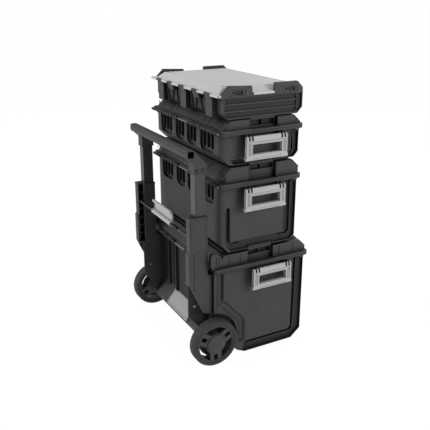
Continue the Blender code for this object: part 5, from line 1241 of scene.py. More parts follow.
@dataclass
class WheeledBin(Shell):
    """The bin at the bottom: body, lid with hinge ears, and kick plate."""

    front: float = 0.2055
    rear: float = 0.178
    comb: Flat = (0.045, 0.196)
    comb_pin: float = 0.189
    lid_lines: tuple[float, ...] = (-0.150, -0.090, 0.075, 0.120)
    lid_line_gap: float = 7.0 * MM
    seat_span: Flat = (-0.12, 0.10)
    recess: float = 0.165
    channel_rib: tuple[Flat, ...] = (
        (-0.1700, 0.341), (-0.1700, 0.162), (-0.1660, 0.041), (-0.1570, 0.034), (0.036, 0.034),
    )
    panel_rib: tuple[Flat, ...] = ((0.0480, 0.046), (0.0500, 0.138), (0.1300, 0.231))
    step_rib: tuple[Flat, ...] = ((0.0720, 0.050), (0.0730, 0.130), (0.1360, 0.201))
    channel_band: tuple[Flat, ...] = (
        (-0.1600, 0.0044), (-0.2011, 0.0380), (-0.2011, 0.3526), (-0.1564, 0.3526),
        (-0.1564, 0.0548), (-0.1462, 0.0446), (0.0540, 0.0446), (0.0540, 0.0078),
        (0.0480, 0.0044),
    )
    recess_spans: tuple[Flat, ...] = ((0.002, 0.0665), (0.0705, 0.133), (0.137, 0.192))
    step_face: float = 0.256
    strip_face: float = 0.254
    uprights: tuple[tuple[float, float, float], ...] = (
        (0.1650, 0.203, 0.350), (0.1390, 0.246, 0.338),
    )

    def build(self) -> None:
        """Show the body, the lid and the kick plate with all their moulded detail."""
        self.shop.take_over("bin_body", self.body_edge, self.body_hollows())
        self.shop.dress("bin_body", "ribs", self.body_ribs())
        # Sheets of painted shade in the rear recess and the side channels.
        liners = Form()
        self.rear_liners(liners, self.recess_spans, 0.146, 0.338, self.recess)
        self.channel_liners(liners, self.channel_band)
        self.shop.dress("bin_body", "liners", liners, PAINTED_SHADE)
        self.shop.take_over("bin_lid", self.lid_edge, self.ear_slots())
        self.shop.dress("bin_lid", "ribs", self.lid_ribs())
        # Sheets of painted shade behind the windows of the lid.
        self.shop.dress("bin_lid", "liners", self.window_liners(), PAINTED_SHADE)
        self.shop.take_over("kick_plate", 0.5 * MM)
        self.shop.dress("kick_plate", "border", self.kick_border())

    def body_hollows(self) -> Form:
        """Cells of the hinge comb, and the clean rear edge of each sunk side strip."""
        cutter = self.comb_cells()
        for side in SIDES:
            cutter.block(
                (side * (self.strip_face + 0.3 * MM), 0.1585, 0.2225),
                (side * (self.wall + 4.0 * MM), 0.1615, 0.3526),
            )
        return cutter

    def body_ribs(self) -> Form:
        """Frames on the sides, ribs on the rear wall and on the front, and those inside."""
        form = Form()
        top = self.wall + self.proud
        self.side_rib(form, self.channel_rib, self.channel, self.wall - self.proud)
        self.side_rib(form, self.panel_rib, self.wall, top)
        self.side_rib(form, self.step_rib, self.step_face, top)
        for y, low, high in self.uprights:
            self.side_rib(form, [(y, low), (y, high)], self.wall, top)
        self.rear_lattice(form)
        self.comb_webs(form)
        self.rim_tabs(form)
        self.rim_lines(form, 0.7 * MM)
        self.floor_ribs(form, (-0.15, 0.04), 11)
        self.front_panel(form, 0.060, 0.300)
        return form

    def rear_lattice(self, form: Form) -> None:
        """Thin ribs in the dark recess of the rear wall, above the kick plate."""
        near, far = self.recess - self.embed, self.recess + 4.0 * MM
        for start, end in ((-0.1725, -0.1713), (0.1025, 0.1037)):
            rib = Form().block((start, near, 0.150), (end, far, 0.335), 0.3 * MM)
            form.add(self.shop.row(rib, 2, (0.0690, 0.0, 0.0)))

    def ear_slots(self) -> Form:
        """Two slots in the outer face of each rounded hinge ear, and those of the comb."""
        cutter = self.comb_cells()
        for side in SIDES:
            slot = Form().block(
                (side * (self.lid_side - 1.6 * MM), 0.1610, 0.386),
                (side * (self.lid_side + 4.0 * MM), 0.1650, 0.412),
            )
            cutter.add(self.shop.row(slot, 2, (0.0, 10.0 * MM, 0.0)))
        return cutter

    def lid_ribs(self) -> Form:
        """Upright lines on the lid's sides, frames of its windows and ribs on its seat."""
        form = Form()
        self.lid_uprights(form)
        self.notch_frames(form)
        self.seat_ribs(form)
        return form

    def kick_border(self) -> Form:
        """Raised border on the slope of the kick plate."""
        top, foot = Vector((0.1685, 0.1380)), Vector((0.2085, 0.0885))
        form = Form()
        half, border, thickness = 0.0895, 3.0 * MM, 1.8 * MM
        path = [tuple(top), tuple(foot)]
        for side in SIDES:
            form.rib(Axis.X, path, thickness, side * half, side * (half - border))
        for low, high in ((0.0, 0.06), (0.94, 1.0)):
            ends = [tuple(top.lerp(foot, low)), tuple(top.lerp(foot, high))]
            form.rib(Axis.X, ends, thickness, -half + border, half - border)
        return form


@dataclass
class OrganizerTray(Shell):
    """The flat box on top: tray with corner guards, and a pale lid."""

    wall: float = 0.262
    front: float = 0.165
    rear: float = 0.146
    comb: Flat = (0.080, 0.216)
    comb_pin: float = 0.166
    rear_spans: tuple[Flat, ...] = ((0.024, 0.078), (0.081, 0.121), (0.124, 0.168), (0.218, 0.240))
    chevrons: tuple[Flat, ...] = ((0.110, 0.157), (0.041, 0.079))
    top_frame: tuple[Flat, Flat] = ((-0.222, -0.130), (0.222, 0.124))
    lid_top: float = 0.9889
    front_channel: float = 0.256

    def build(self) -> None:
        """Show the tray and its lid."""
        self.shop.take_over("organizer_base", 0.8 * MM, self.guard_hollows())
        self.shop.dress("organizer_base", "ribs", self.tray_ribs())
        # Sheets of painted shade in the front bands, the guards, the side grooves and between the
        # rear posts.
        self.shop.dress("organizer_base", "liners", self.tray_liners(), PAINTED_SHADE)
        self.shop.take_over("organizer_lid", 0.8 * MM)
        self.shop.dress("organizer_lid", "relief", self.lid_relief())

    def guard_hollows(self) -> Form:
        """Hollow with a deeper hole in the outer face of each corner guard."""
        cutter = Form()
        z = self.levels.parting
        for side in SIDES:
            face = side * self.wall
            out = side * (self.wall + 5.0 * MM)
            shallow, deep = side * (self.wall - 1.6 * MM), side * (self.wall - 5.5 * MM)
            for low, high in ((0.062, 0.128), (-0.142, -0.078)):
                cutter.block((shallow, low, z + 2.0 * MM), (out, high, z + 21.0 * MM))
                middle = (low + high) / 2
                for front, rear, foot, top in ((-22.0, 5.0, 5.0, 17.0), (10.0, 16.0, 8.0, 14.0)):
                    cutter.block(
                        (deep, middle + front * MM, z + foot * MM),
                        (out, middle + rear * MM, z + top * MM),
                    )
            cutter.block(
                (face, 0.037, z + 25.0 * MM), (face - side * 1.0 * MM, 0.060, z + 26.5 * MM)
            )
            cutter.prism(Axis.X, self.front_band(0.0), side * self.front_channel, out)
        return cutter

    def front_band(self, inset: float) -> list[Flat]:
        """Outline of the sunk band behind the front edge of the sides.

        Args:
            inset: How far it keeps within the band.

        Returns:
            The outline.
        """
        foot, top = self.levels.floor + 5.0 * MM + inset, self.levels.parting - 6.0 * MM - inset
        near, far = -self.front + 4.0 * MM + inset, -0.1405 - inset
        corner = [(near + 17.0 * MM, foot), (near, foot + 17.0 * MM)]
        return [(far, foot), *corner, (near, top), (far, top)]

    def tray_ribs(self) -> Form:
        """Frame and corner flange on the sunk sides, chevrons on the rear, and floor ribs."""
        form = Form()
        low, high = self.levels.floor + 6.0 * MM, self.levels.parting - 6.5 * MM
        frame = [
            (0.138, high), (-0.128, high), (-0.139, high - 9.0 * MM),
            (-0.139, low + 9.0 * MM), (-0.128, low), (0.138, low),
        ]
        self.side_rib(form, frame, self.wall, self.wall + self.proud)
        front, foot = -self.front + 2.7 * MM, self.levels.floor + 2.6 * MM
        flange = [
            (front, self.levels.parting - 0.6 * MM), (front, foot + 19.0 * MM),
            (front + 19.0 * MM, foot),
        ]
        for side in SIDES:
            inner, outer = side * (self.wall - 26.0 * MM), side * self.wall
            form.rib(Axis.X, flange, 5.0 * MM, inner, outer, 0.8 * MM)
        self.bar_frames(form)
        self.rear_chevrons(form)
        self.floor_ribs(form, (-0.12, 0.10), 9)
        self.front_panel(form, self.levels.floor + 26.0 * MM, self.levels.parting - 8.0 * MM)
        return form

    def tray_liners(self) -> Form:
        """Rough plates of painted shade in the side grooves, in the guards and between the rear
        posts.
        """
        form = Form()
        z = self.levels.parting
        for side in SIDES:
            start = side * (self.front_channel - 0.5 * MM)
            end = side * (self.front_channel + 0.4 * MM)
            form.prism(Axis.X, self.front_band(0.4 * MM), start, end)
            start, end = side * (self.wall - 6.0 * MM), side * (self.wall - 5.1 * MM)
            for middle in (0.095, -0.110):
                form.block(
                    (start, middle - 21.6 * MM, z + 5.4 * MM),
                    (end, middle + 4.6 * MM, z + 16.6 * MM),
                )
        self.rear_liners(form, self.rear_spans, 0.909, 0.955, self.rear)
        rib, count = 5.0 * MM, 3
        height = (self.levels.parting - self.levels.floor - rib * (count + 1)) / count
        floor = self.wall - 4.0 * MM
        for side in SIDES:
            low = self.levels.floor + rib
            plate = Form().block(
                (side * (floor - 0.5 * MM), -0.136, low + 0.6 * MM),
                (side * (floor + 0.4 * MM), 0.140, low + height - 0.6 * MM),
            )
            form.add(self.shop.row(plate, count, (0.0, 0.0, height + rib)))
        return form

    def rear_chevrons(self, form: Form) -> None:
        """Pairs of ribs on the rear wall that draw together towards the foot."""
        top, knee, foot = 0.955, 0.928, 0.902
        for side in SIDES:
            for near, far in self.chevrons:
                middle = (near + far) / 2
                for place in (near, far):
                    inner = middle + 0.45 * (place - middle)
                    path = [(side * place, top), (side * place, knee), (side * inner, foot)]
                    form.rib(
                        Axis.Y, path, 3.0 * MM, self.rear - self.embed - 1.0 * MM,
                        self.rear + 5.0 * MM, 0.5 * MM,
                    )

    def lid_relief(self) -> Form:
        """Fine frame on the raised middle, bumps near its rear corners, and facets behind."""
        form = Form()
        low, high = self.top_frame
        z = self.lid_top
        form.frame(Axis.Z, low, high, 1.3 * MM, z - 0.8 * MM, z + 0.5 * MM, 0.3 * MM)
        for side in SIDES:
            form.block(
                (side * 0.2030, 0.1070, z - 1.0 * MM), (side * 0.2170, 0.1180, z + 2.2 * MM),
                0.8 * MM,
            )
            edge = self.levels.parting + 8.0 * MM
            for near, far in ((0.026, 0.076), (0.126, 0.166), (0.220, 0.262)):
                form.block(
                    (side * near, 0.1575, edge - 1.0 * MM), (side * far, 0.1685, edge + 1.2 * MM),
                    0.8 * MM,
                )
        return form


@dataclass
class Flap:
    """Frame that hangs from a pin: its window, its roll, and the relief on its outer face.

    It is drawn with the pin at the origin, its outer face towards +X and hanging to -Z.
    """

    width: float
    length: float
    thickness: float
    upright: float
    window: Flat
    roll: float
    scallops: int
    overhang: float = 3.0 * MM

    @property
    def half(self) -> float:
        """Half the width."""
        return self.width / 2

    @property
    def face(self) -> float:
        """Distance of the outer face from the pin."""
        return self.thickness / 2

    def hollows(self, shop: Workshop) -> Form:
        """Channels, groove, roll end slots and scallops that are cut from the frame.

        Args:
            shop: The workshop that repeats the scallops.

        Returns:
            The cutters.
        """
        cutter = Form()
        out, deep = self.face + 4.0 * MM, self.face - 1.4 * MM
        top, foot = -self.window[0] + 5.0 * MM, -self.window[1] - 3.0 * MM
        roll_z = self.roll - self.length
        inner = self.half - self.upright
        for side in SIDES:
            for near, far in ((0.30, 0.46), (0.58, 0.74)):
                cutter.block(
                    (deep, side * (inner + near * self.upright), foot),
                    (out, side * (inner + far * self.upright), top),
                )
            end = self.half + self.overhang
            cutter.block(
                (-1.4 * MM, side * (end - 3.2 * MM), roll_z - 2.6 * MM),
                (1.8 * MM, side * (end + 2.0 * MM), roll_z + 3.4 * MM),
            )
        groove = -self.window[0] + 7.6 * MM
        cutter.block(
            (self.face - 1.0 * MM, -self.half + 4.0 * MM, groove),
            (out, self.half - 4.0 * MM, groove + 1.3 * MM),
        )
        step = 2 * (inner - 6.0 * MM) / (self.scallops - 1)
        dent = Form().rod(
            Axis.X, (-inner + 6.0 * MM, roll_z - self.roll - 1.4 * MM), 3.2 * MM,
            -self.thickness, self.thickness, 10,
        )
        cutter.add(shop.row(dent, self.scallops, (0.0, step, 0.0)))
        return cutter

    def relief(self, shop: Workshop) -> Form:
        """Raised frame round the window and finger ribs on the roll.

        Args:
            shop: The workshop that repeats the ribs.

        Returns:
            The raised forms.
        """
        form = Form()
        inner = self.half - self.upright
        form.frame(
            Axis.X, (-inner, -self.window[1]), (inner, -self.window[0]), 1.4 * MM,
            self.face - 0.8 * MM, self.face + 0.8 * MM,
        )
        roll_z = self.roll - self.length
        step = 2 * (inner - 4.0 * MM) / (self.scallops - 1)
        rib = Form().block(
            (self.roll - 1.0 * MM, -inner + 3.4 * MM, roll_z - 2.6 * MM),
            (self.roll + 0.7 * MM, -inner + 4.6 * MM, roll_z + 2.6 * MM), 0.2 * MM,
        )
        form.add(shop.row(rib, self.scallops, (0.0, step, 0.0), slot="latch_grey"))
        return form


@dataclass
class LatchSet:
    """Side catches, front latches and carry handles of all the units."""

    shop: Workshop
    side_pin: float = 0.288
    pin_drop: float = 0.021
    middle: float = -0.0065
    bin_middle: float = -0.0455
    front_middle: float = 0.165
    stand: float = 8.0 * MM
    handle_stand: float = 12.0 * MM
    side: Flap = field(
        default_factory=lambda: Flap(0.160, 0.077, 0.013, 0.0225, (0.021, 0.054), 0.0078, 11)
    )
    front: Flap = field(
        default_factory=lambda: Flap(0.070, 0.056, 0.010, 0.0120, (0.016, 0.038), 0.0065, 5)
    )
    handle: Flap = field(
        default_factory=lambda: Flap(0.150, 0.062, 0.012, 0.0140, (0.012, 0.046), 0.0085, 9)
    )
    tray_handle: Flap = field(
        default_factory=lambda: Flap(0.150, 0.048, 0.012, 0.0140, (0.012, 0.034), 0.0085, 9)
    )

    def build(self) -> None:
        """Show every latch and handle with its relief."""
        units = (("bin", BIN, self.bin_middle), ("medium", MEDIUM, self.middle))
        for word, levels, middle in (*units, ("small", SMALL, self.middle)):
            for side, hand in HANDS:
                pin = (side * self.side_pin, middle, levels.parting - self.pin_drop)
                turn = math.pi if side < 0 else 0.0
                self.hang(f"{word}_side_latch_{hand}", self.side, pin, turn)
        fronts = (("bin", BIN, 0.209), ("medium", MEDIUM, 0.161), ("small", SMALL, 0.161))
        for word, levels, face in (*fronts, ("organizer", ORGANIZER, 0.165)):
            for side, hand in HANDS:
                pin = (side * self.front_middle, -face - self.stand, levels.parting + 4.0 * MM)
                self.hang(f"{word}_front_latch_{hand}", self.front, pin, -math.pi / 2)
        for word, levels, flap, face, drop in (
            ("medium", MEDIUM, self.handle, 0.158, 0.030),
            ("small", SMALL, self.handle, 0.158, 0.030),
            ("organizer", ORGANIZER, self.tray_handle, 0.165, 0.018),
        ):
            pin = (0.0, -face - self.handle_stand, levels.parting - drop)
            self.hang(f"{word}_carry_handle", flap, pin, -math.pi / 2)

    def hang(self, node: str, flap: Flap, pin: Point, turn: float) -> None:
        """Show one frame on its pin.

        Args:
            node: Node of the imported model.
            flap: Its sizes.
            pin: The middle of its pin.
            turn: Turn about Z that points its outer face outwards.
        """
        place = Matrix.Translation(pin) @ Matrix.Rotation(turn, 4, "Z")
        self.shop.take_over(node, SMALL_EDGE, flap.hollows(self.shop).moved(place))
        self.shop.dress(node, "relief", flap.relief(self.shop).moved(place))


@dataclass
class WheelPair:
    """Two wheels: tyres with grooved treads, spoked hubs and domed caps."""

    shop: Workshop
    axle: Flat = (0.187, 0.089)
    radius: float = 0.089
    width: float = 0.042
    inner_face: float = 0.2515
    grooves: int = 40
    hub_inset: float = 2.5 * MM
    web_depth: float = 8.0 * MM
    tyre_lines: tuple[Flat, ...] = ((0.0805, 0.0818), (0.0738, 0.0755))
    hub_lines: tuple[Flat, ...] = ((0.0680, 0.0722), (0.0352, 0.0385))
    web_radii: Flat = (0.0385, 0.0560)
    tread_rows: tuple[Point, ...] = ((-0.0145, -0.0015, 0.0), (0.0015, 0.0145, 0.5))
    cap_radii: Flat = (0.0300, 0.0345)

    def build(self) -> None:
        """Show both wheels."""
        for side, hand in HANDS:
            middle = side * (self.inner_face + self.width / 2)
            outer = side * (self.inner_face + self.width)
            tyre = f"wheel_{hand}_tyre"
            self.shop.take_over(tyre, 0.8 * MM, self.tread(middle))
            self.shop.dress(tyre, "rings", self.side_rings(outer, side))
            hub = f"wheel_{hand}_hub"
            self.shop.take_over(hub, 0.8 * MM, finish=HUB_PLASTIC)
            self.shop.dress(hub, "rings", self.hub_rings(outer, side), HUB_PLASTIC)
            # Web in the near-black finish: painted shade deep inside the hub.
            self.shop.dress(hub, "web", self.hub_shade_web(middle, side), PAINTED_SHADE)
            cap = f"wheel_{hand}_cap"
            self.shop.take_over(cap, SMALL_EDGE, finish=HUB_PLASTIC)
            self.shop.dress(cap, "ring", self.cap_ring(outer, side), HUB_PLASTIC)

    def tread(self, middle: float) -> Form:
        """Grooves across the tread of one tyre, as cutters.

        Args:
            middle: Place of the tyre's middle plane.

        Returns:
            The cutters.
        """
        cutter = Form()
        turn = 2 * math.pi / self.grooves
        for near, far, skew in self.tread_rows:
            groove = Form().block(
                (near, -1.2 * MM, self.radius - 0.9 * MM), (far, 1.2 * MM, self.radius + 2.0 * MM)
            )
            groove.moved(Matrix.Rotation(skew * turn, 4, "X"))
            row = self.shop.row(groove, self.grooves, turn=(turn, 0.0, 0.0), slot="tyre")
            cutter.add(row, (middle, *self.axle))
        return cutter

    def side_rings(self, outer: float, side: int) -> Form:
        """Fine raised rings on the outer wall of one tyre.

        Args:
            outer: Place of the outer face.
            side: 1 or -1, the side of the stack.

        Returns:
            The rings.
        """
        form = Form()
        near, far = outer - side * 0.6 * MM, outer + side * 0.7 * MM
        for radii in self.tyre_lines:
            form.ring(Axis.X, self.axle, radii, near, far)
        return form

    def hub_rings(self, outer: float, side: int) -> Form:
        """Raised rings outside and inside the openings of one hub.

        Args:
            outer: Place of the outer face of the wheel.
            side: 1 or -1, the side of the stack.

        Returns:
            The rings.
        """
        form = Form()
        face = outer - side * self.hub_inset
        near, far = face - side * 0.8 * MM, face + side * 0.9 * MM
        for radii in self.hub_lines:
            form.ring(Axis.X, self.axle, radii, near, far)
        return form

    def hub_shade_web(self, middle: float, side: int) -> Form:
        """Thin web deep inside one hub, open near the tyre, in the near-black finish of painted
        shade.

        Args:
            middle: Place of the wheel's middle plane.
            side: 1 or -1, the side of the stack.

        Returns:
            The web.
        """
        inner = middle - side * self.web_depth
        return Form().ring(Axis.X, self.axle, self.web_radii, inner, inner + side * 2.0 * MM)

    def cap_ring(self, outer: float, side: int) -> Form:
        """Raised ring on one cap.

        Args:
            outer: Place of the outer face of the wheel.
            side: 1 or -1, the side of the stack.

        Returns:
            The ring.
        """
        face = outer - side * self.hub_inset
        near, far = face - side * 1.0 * MM, face + side * 2.4 * MM
        return Form().ring(Axis.X, self.axle, self.cap_radii, near, far)


@dataclass
class HandleFrame:
    """Posts on the rear of the bin, the tubes that slide in them, collars and grip."""

    shop: Workshop
    inner: float = 0.2035
    outer: float = 0.2475
    front: float = 0.1965
    rear: float = 0.264
    back_inner: float = 0.2185
    channel_rear: float = 0.244
    top: float = 0.565
    seam: float = 0.437
    lip: float = 1.6 * MM
    tube: Flat = (0.208, 0.240)
    grip: Flat = (0.2572, 0.7853)
    grip_size: float = 0.029
    grip_half: float = 0.250
    lip_gap: float = 0.4 * MM
    end_ring: float = 14.0 * MM

    def build(self) -> None:
        """Show the posts, tubes, collars and grip."""
        for side, hand in HANDS:
            post = f"{hand}_post"
            self.shop.take_over(post, SMALL_EDGE, self.post_hollows(side))
            self.shop.dress(post, "lips", self.post_lips(side))
            self.shop.take_over(f"handle_tube_{hand}", SMALL_EDGE, self.tube_marks(side))
            collar = f"handle_collar_{hand}"
            self.shop.take_over(collar, SMALL_EDGE)
            self.shop.dress(collar, "rings", self.collar_rings(side))
        self.shop.take_over("handle_grip", SMALL_EDGE, self.grip_grooves())
        self.shop.dress("handle_grip", "ribs", self.grip_ribs())

    def post_hollows(self, side: int) -> Form:
        """Long groove, seam and bracket hole of one post, as cutters.

        Args:
            side: 1 or -1, the side of the stack.

        Returns:
            The cutters.
        """
        out = self.outer + 4.0 * MM
        cutter = Form()
        cutter.block(
            (side * (self.outer - 1.4 * MM), 0.2485, 0.292), (side * out, 0.2515, 0.432)
        )
        cutter.block(
            (side * (self.outer - 1.0 * MM), 0.19, self.seam - 0.5 * MM),
            (side * out, 0.286, self.seam + 0.5 * MM),
        )
        start, end = side * (self.inner - 2.0 * MM), side * (self.inner + 9.0 * MM)
        cutter.rod(Axis.X, (0.228, 0.212), 6.0 * MM, start, end, 20)
        cutter.block(
            (side * (self.inner + 5.0 * MM), 0.204, self.top - 3.0 * MM),
            (side * (self.outer - 4.0 * MM), 0.243, self.top + 2.0 * MM),
        )
        return cutter

    def post_lips(self, side: int) -> Form:
        """Lip round the top of one post and a flange along its rear edge.

        Args:
            side: 1 or -1, the side of the stack.

        Returns:
            The raised forms.
        """
        form = Form()
        low, gap = self.top - 5.0 * MM, self.lip_gap
        for inner, front, rear in (
            (self.inner, self.front + gap, self.channel_rear - gap),
            (self.back_inner, self.channel_rear, self.rear - gap),
        ):
            near, far = sorted((side * inner, side * self.outer))
            form.frame(
                Axis.Z, (near + gap, front), (far - gap, rear), self.lip, low, self.top, 0.4 * MM
            )
        for front, rear, foot, proud in (
            (self.rear - 5.5 * MM, self.rear - 2.0 * MM, self.seam + 6.0 * MM, 1.2 * MM),
            (self.front + 3.0 * MM, self.front + 5.2 * MM, 0.36, 1.0 * MM),
        ):
            form.block(
                (side * (self.outer - 0.8 * MM), front, foot),
                (side * (self.outer + proud), rear, low), 0.4 * MM,
            )
        return form

    def tube_marks(self, side: int) -> Form:
        """Draw lines and lock holes of one tube, as cutters.

        Args:
            side: 1 or -1, the side of the stack.

        Returns:
            The cutters.
        """
        cutter = Form()
        low, high = self.tube
        for face in (high, low):
            way = 1 if face == high else -1
            start, end = side * (face - way * 0.5 * MM), side * (face + way * 3.0 * MM)
            for y in (0.2105, 0.2285):
                cutter.block((start, y, 0.36), (end, y + 1.2 * MM, 0.70))
        start, end = side * (low - 3.0 * MM), side * (low + 4.0 * MM)
        hole = Form().rod(Axis.X, (0.220, 0.42), 3.5 * MM, start, end, 14)
        cutter.add(self.shop.row(hole, 4, (0.0, 0.0, 0.07), slot="black_tube"))
        return cutter

    def collar_rings(self, side: int) -> Form:
        """Lip round the foot of one collar and rings round its screws.

        Args:
            side: 1 or -1, the side of the stack.

        Returns:
            The raised forms.
        """
        form = Form()
        low, high = self.tube
        wall = 3.5 * MM
        near, far = sorted((side * (low - wall), side * (high + wall)))
        form.frame(
            Axis.Z, (near + 0.4 * MM, 0.1969), (far - 0.4 * MM, 0.2431), 1.4 * MM,
            0.7145, 0.7185, 0.4 * MM,
        )
        face = side * (high + wall)
        for y in (0.210, 0.232):
            form.ring(
                Axis.X, (y, 0.727), (5.2 * MM, 6.4 * MM), face - side * 0.5 * MM,
                face + side * 0.8 * MM, 20,
            )
        return form

    def grip_grooves(self) -> Form:
        """Long grooves in the grip and the seams of its end rings, as cutters."""
        y, z = self.grip
        half = self.grip_size / 2
        cutter = Form()
        long, hole, seam = self.grip_half - self.end_ring, half - 3.6 * MM, half - 0.9 * MM
        for way in (1, -1):
            cutter.block(
                (-long, y + way * (half - 1.2 * MM), z + 3.6 * MM),
                (long, y + way * (half + 4.0 * MM), z + 5.2 * MM),
            )
        for side in SIDES:
            cutter.block(
                (side * long, y - hole, z - hole),
                (side * (self.grip_half + 4.0 * MM), y + hole, z + hole),
            )
            place = side * (self.grip_half - 9.0 * MM)
            cutter.frame(
                Axis.X, (y - seam, z - seam), (y + seam, z + seam), 5.0 * MM,
                place, place + side * 1.2 * MM, 0.0,
            )
        return cutter

    def grip_ribs(self) -> Form:
        """Finger ribs under the grip."""
        y, z = self.grip
        low = z - self.grip_size / 2
        rib = Form().block(
            (-0.168, y - 7.0 * MM, low - 0.9 * MM), (-0.1655, y + 7.0 * MM, low + 1.0 * MM),
            0.3 * MM,
        )
        return Form().add(self.shop.row(rib, 43, (8.0 * MM, 0.0, 0.0)))


@dataclass
class ReleaseGear:
    """Pale paddle that frees the handle, and the rod it turns on."""

    shop: Workshop
    rod: Flat = (0.257, 0.493)
    half: float = 0.079
    height: float = 0.043
    sag: float = 5.5 * MM
    thickness: float = 4.5 * MM
    coils: int = 14

    def build(self) -> None:
        """Show the paddle and the rod."""
        self.shop.take_over("release_paddle", SMALL_EDGE)
        self.shop.dress("release_paddle", "rim", self.paddle_rim())
        self.shop.take_over("release_rod", 0.3 * MM, finish=BLACKENED)
        self.shop.dress("release_rod", "spring", self.spring(), BLACKENED)

    def paddle_rim(self) -> Form:
        """Raised rim at both ends of the concave face, with an eye round the rod."""
        reach = self.height / 2
        radius = (reach**2 + self.sag**2) / (2 * self.sag)
        half_angle = math.asin(reach / radius)
        y, z = self.rod[0] + radius - self.sag, self.rod[1] + reach
        steps = 8
        turns = [
            math.pi + half_angle - 2 * half_angle * index / steps for index in range(steps + 1)
        ]
        near, far = radius - 1.8 * MM, radius + self.thickness + 0.6 * MM
        points = [(y + near * math.cos(t), z + near * math.sin(t)) for t in turns]
        points += [(y + far * math.cos(t), z + far * math.sin(t)) for t in reversed(turns)]
        form = Form()
        for side in SIDES:
            start, end = side * (self.half - 3.0 * MM), side * (self.half + 0.6 * MM)
            form.prism(Axis.X, points, start, end, 0.4 * MM)
            start, end = sorted((side * self.half, side * (self.half + 4.0 * MM)))
            form.ring(Axis.X, self.rod, (4.3 * MM, 9.6 * MM), start, end, 24)
        return form

    def spring(self) -> Form:
        """Return spring wound on the rod beside the paddle."""
        coil = Form().ring(Axis.X, self.rod, (3.9 * MM, 6.6 * MM), -0.132, -0.1306, 18)
        return Form().add(self.shop.row(coil, self.coils, (2.4 * MM, 0.0, 0.0), slot="steel"))


@dataclass
class Fasteners:
    """Cross recesses in the heads of the screws."""

    shop: Workshop
    post_face: float = 0.1846
    post_middle: float = 0.224
    collar_face: float = 0.2463
    reach: float = 2.4 * MM
    slot: float = 0.9 * MM
    depth: float = 1.0 * MM
    clear: float = 3.0 * MM
    edge: float = 0.3 * MM
    post_levels: Flat = (0.225, 0.305)
    collar_places: Flat = (0.210, 0.232)
    collar_level: float = 0.727

    def build(self) -> None:
        """Show the screws of the posts and of the collars."""
        arms = ((self.reach, self.slot), (self.slot, self.reach))
        for side, hand in HANDS:
            x = side * self.post_middle
            for index, z in enumerate(self.post_levels, 1):
                cutter = Form()
                for wide, high in arms:
                    cutter.block(
                        (x - wide, self.post_face - self.depth, z - high),
                        (x + wide, self.post_face + self.clear, z + high),
                    )
                # Post screws in the near-black finish: painted shade over their heads.
                self.shop.take_over(f"post_screw_{hand}_{index}", self.edge, cutter, PAINTED_SHADE)
            face, z = side * self.collar_face, self.collar_level
            for index, y in enumerate(self.collar_places, 1):
                cutter = Form()
                for long, high in arms:
                    cutter.block(
                        (face - side * self.depth, y - long, z - high),
                        (face + side * self.clear, y + long, z + high),
                    )
                self.shop.take_over(f"collar_screw_{hand}_{index}", self.edge, cutter, BLACKENED)


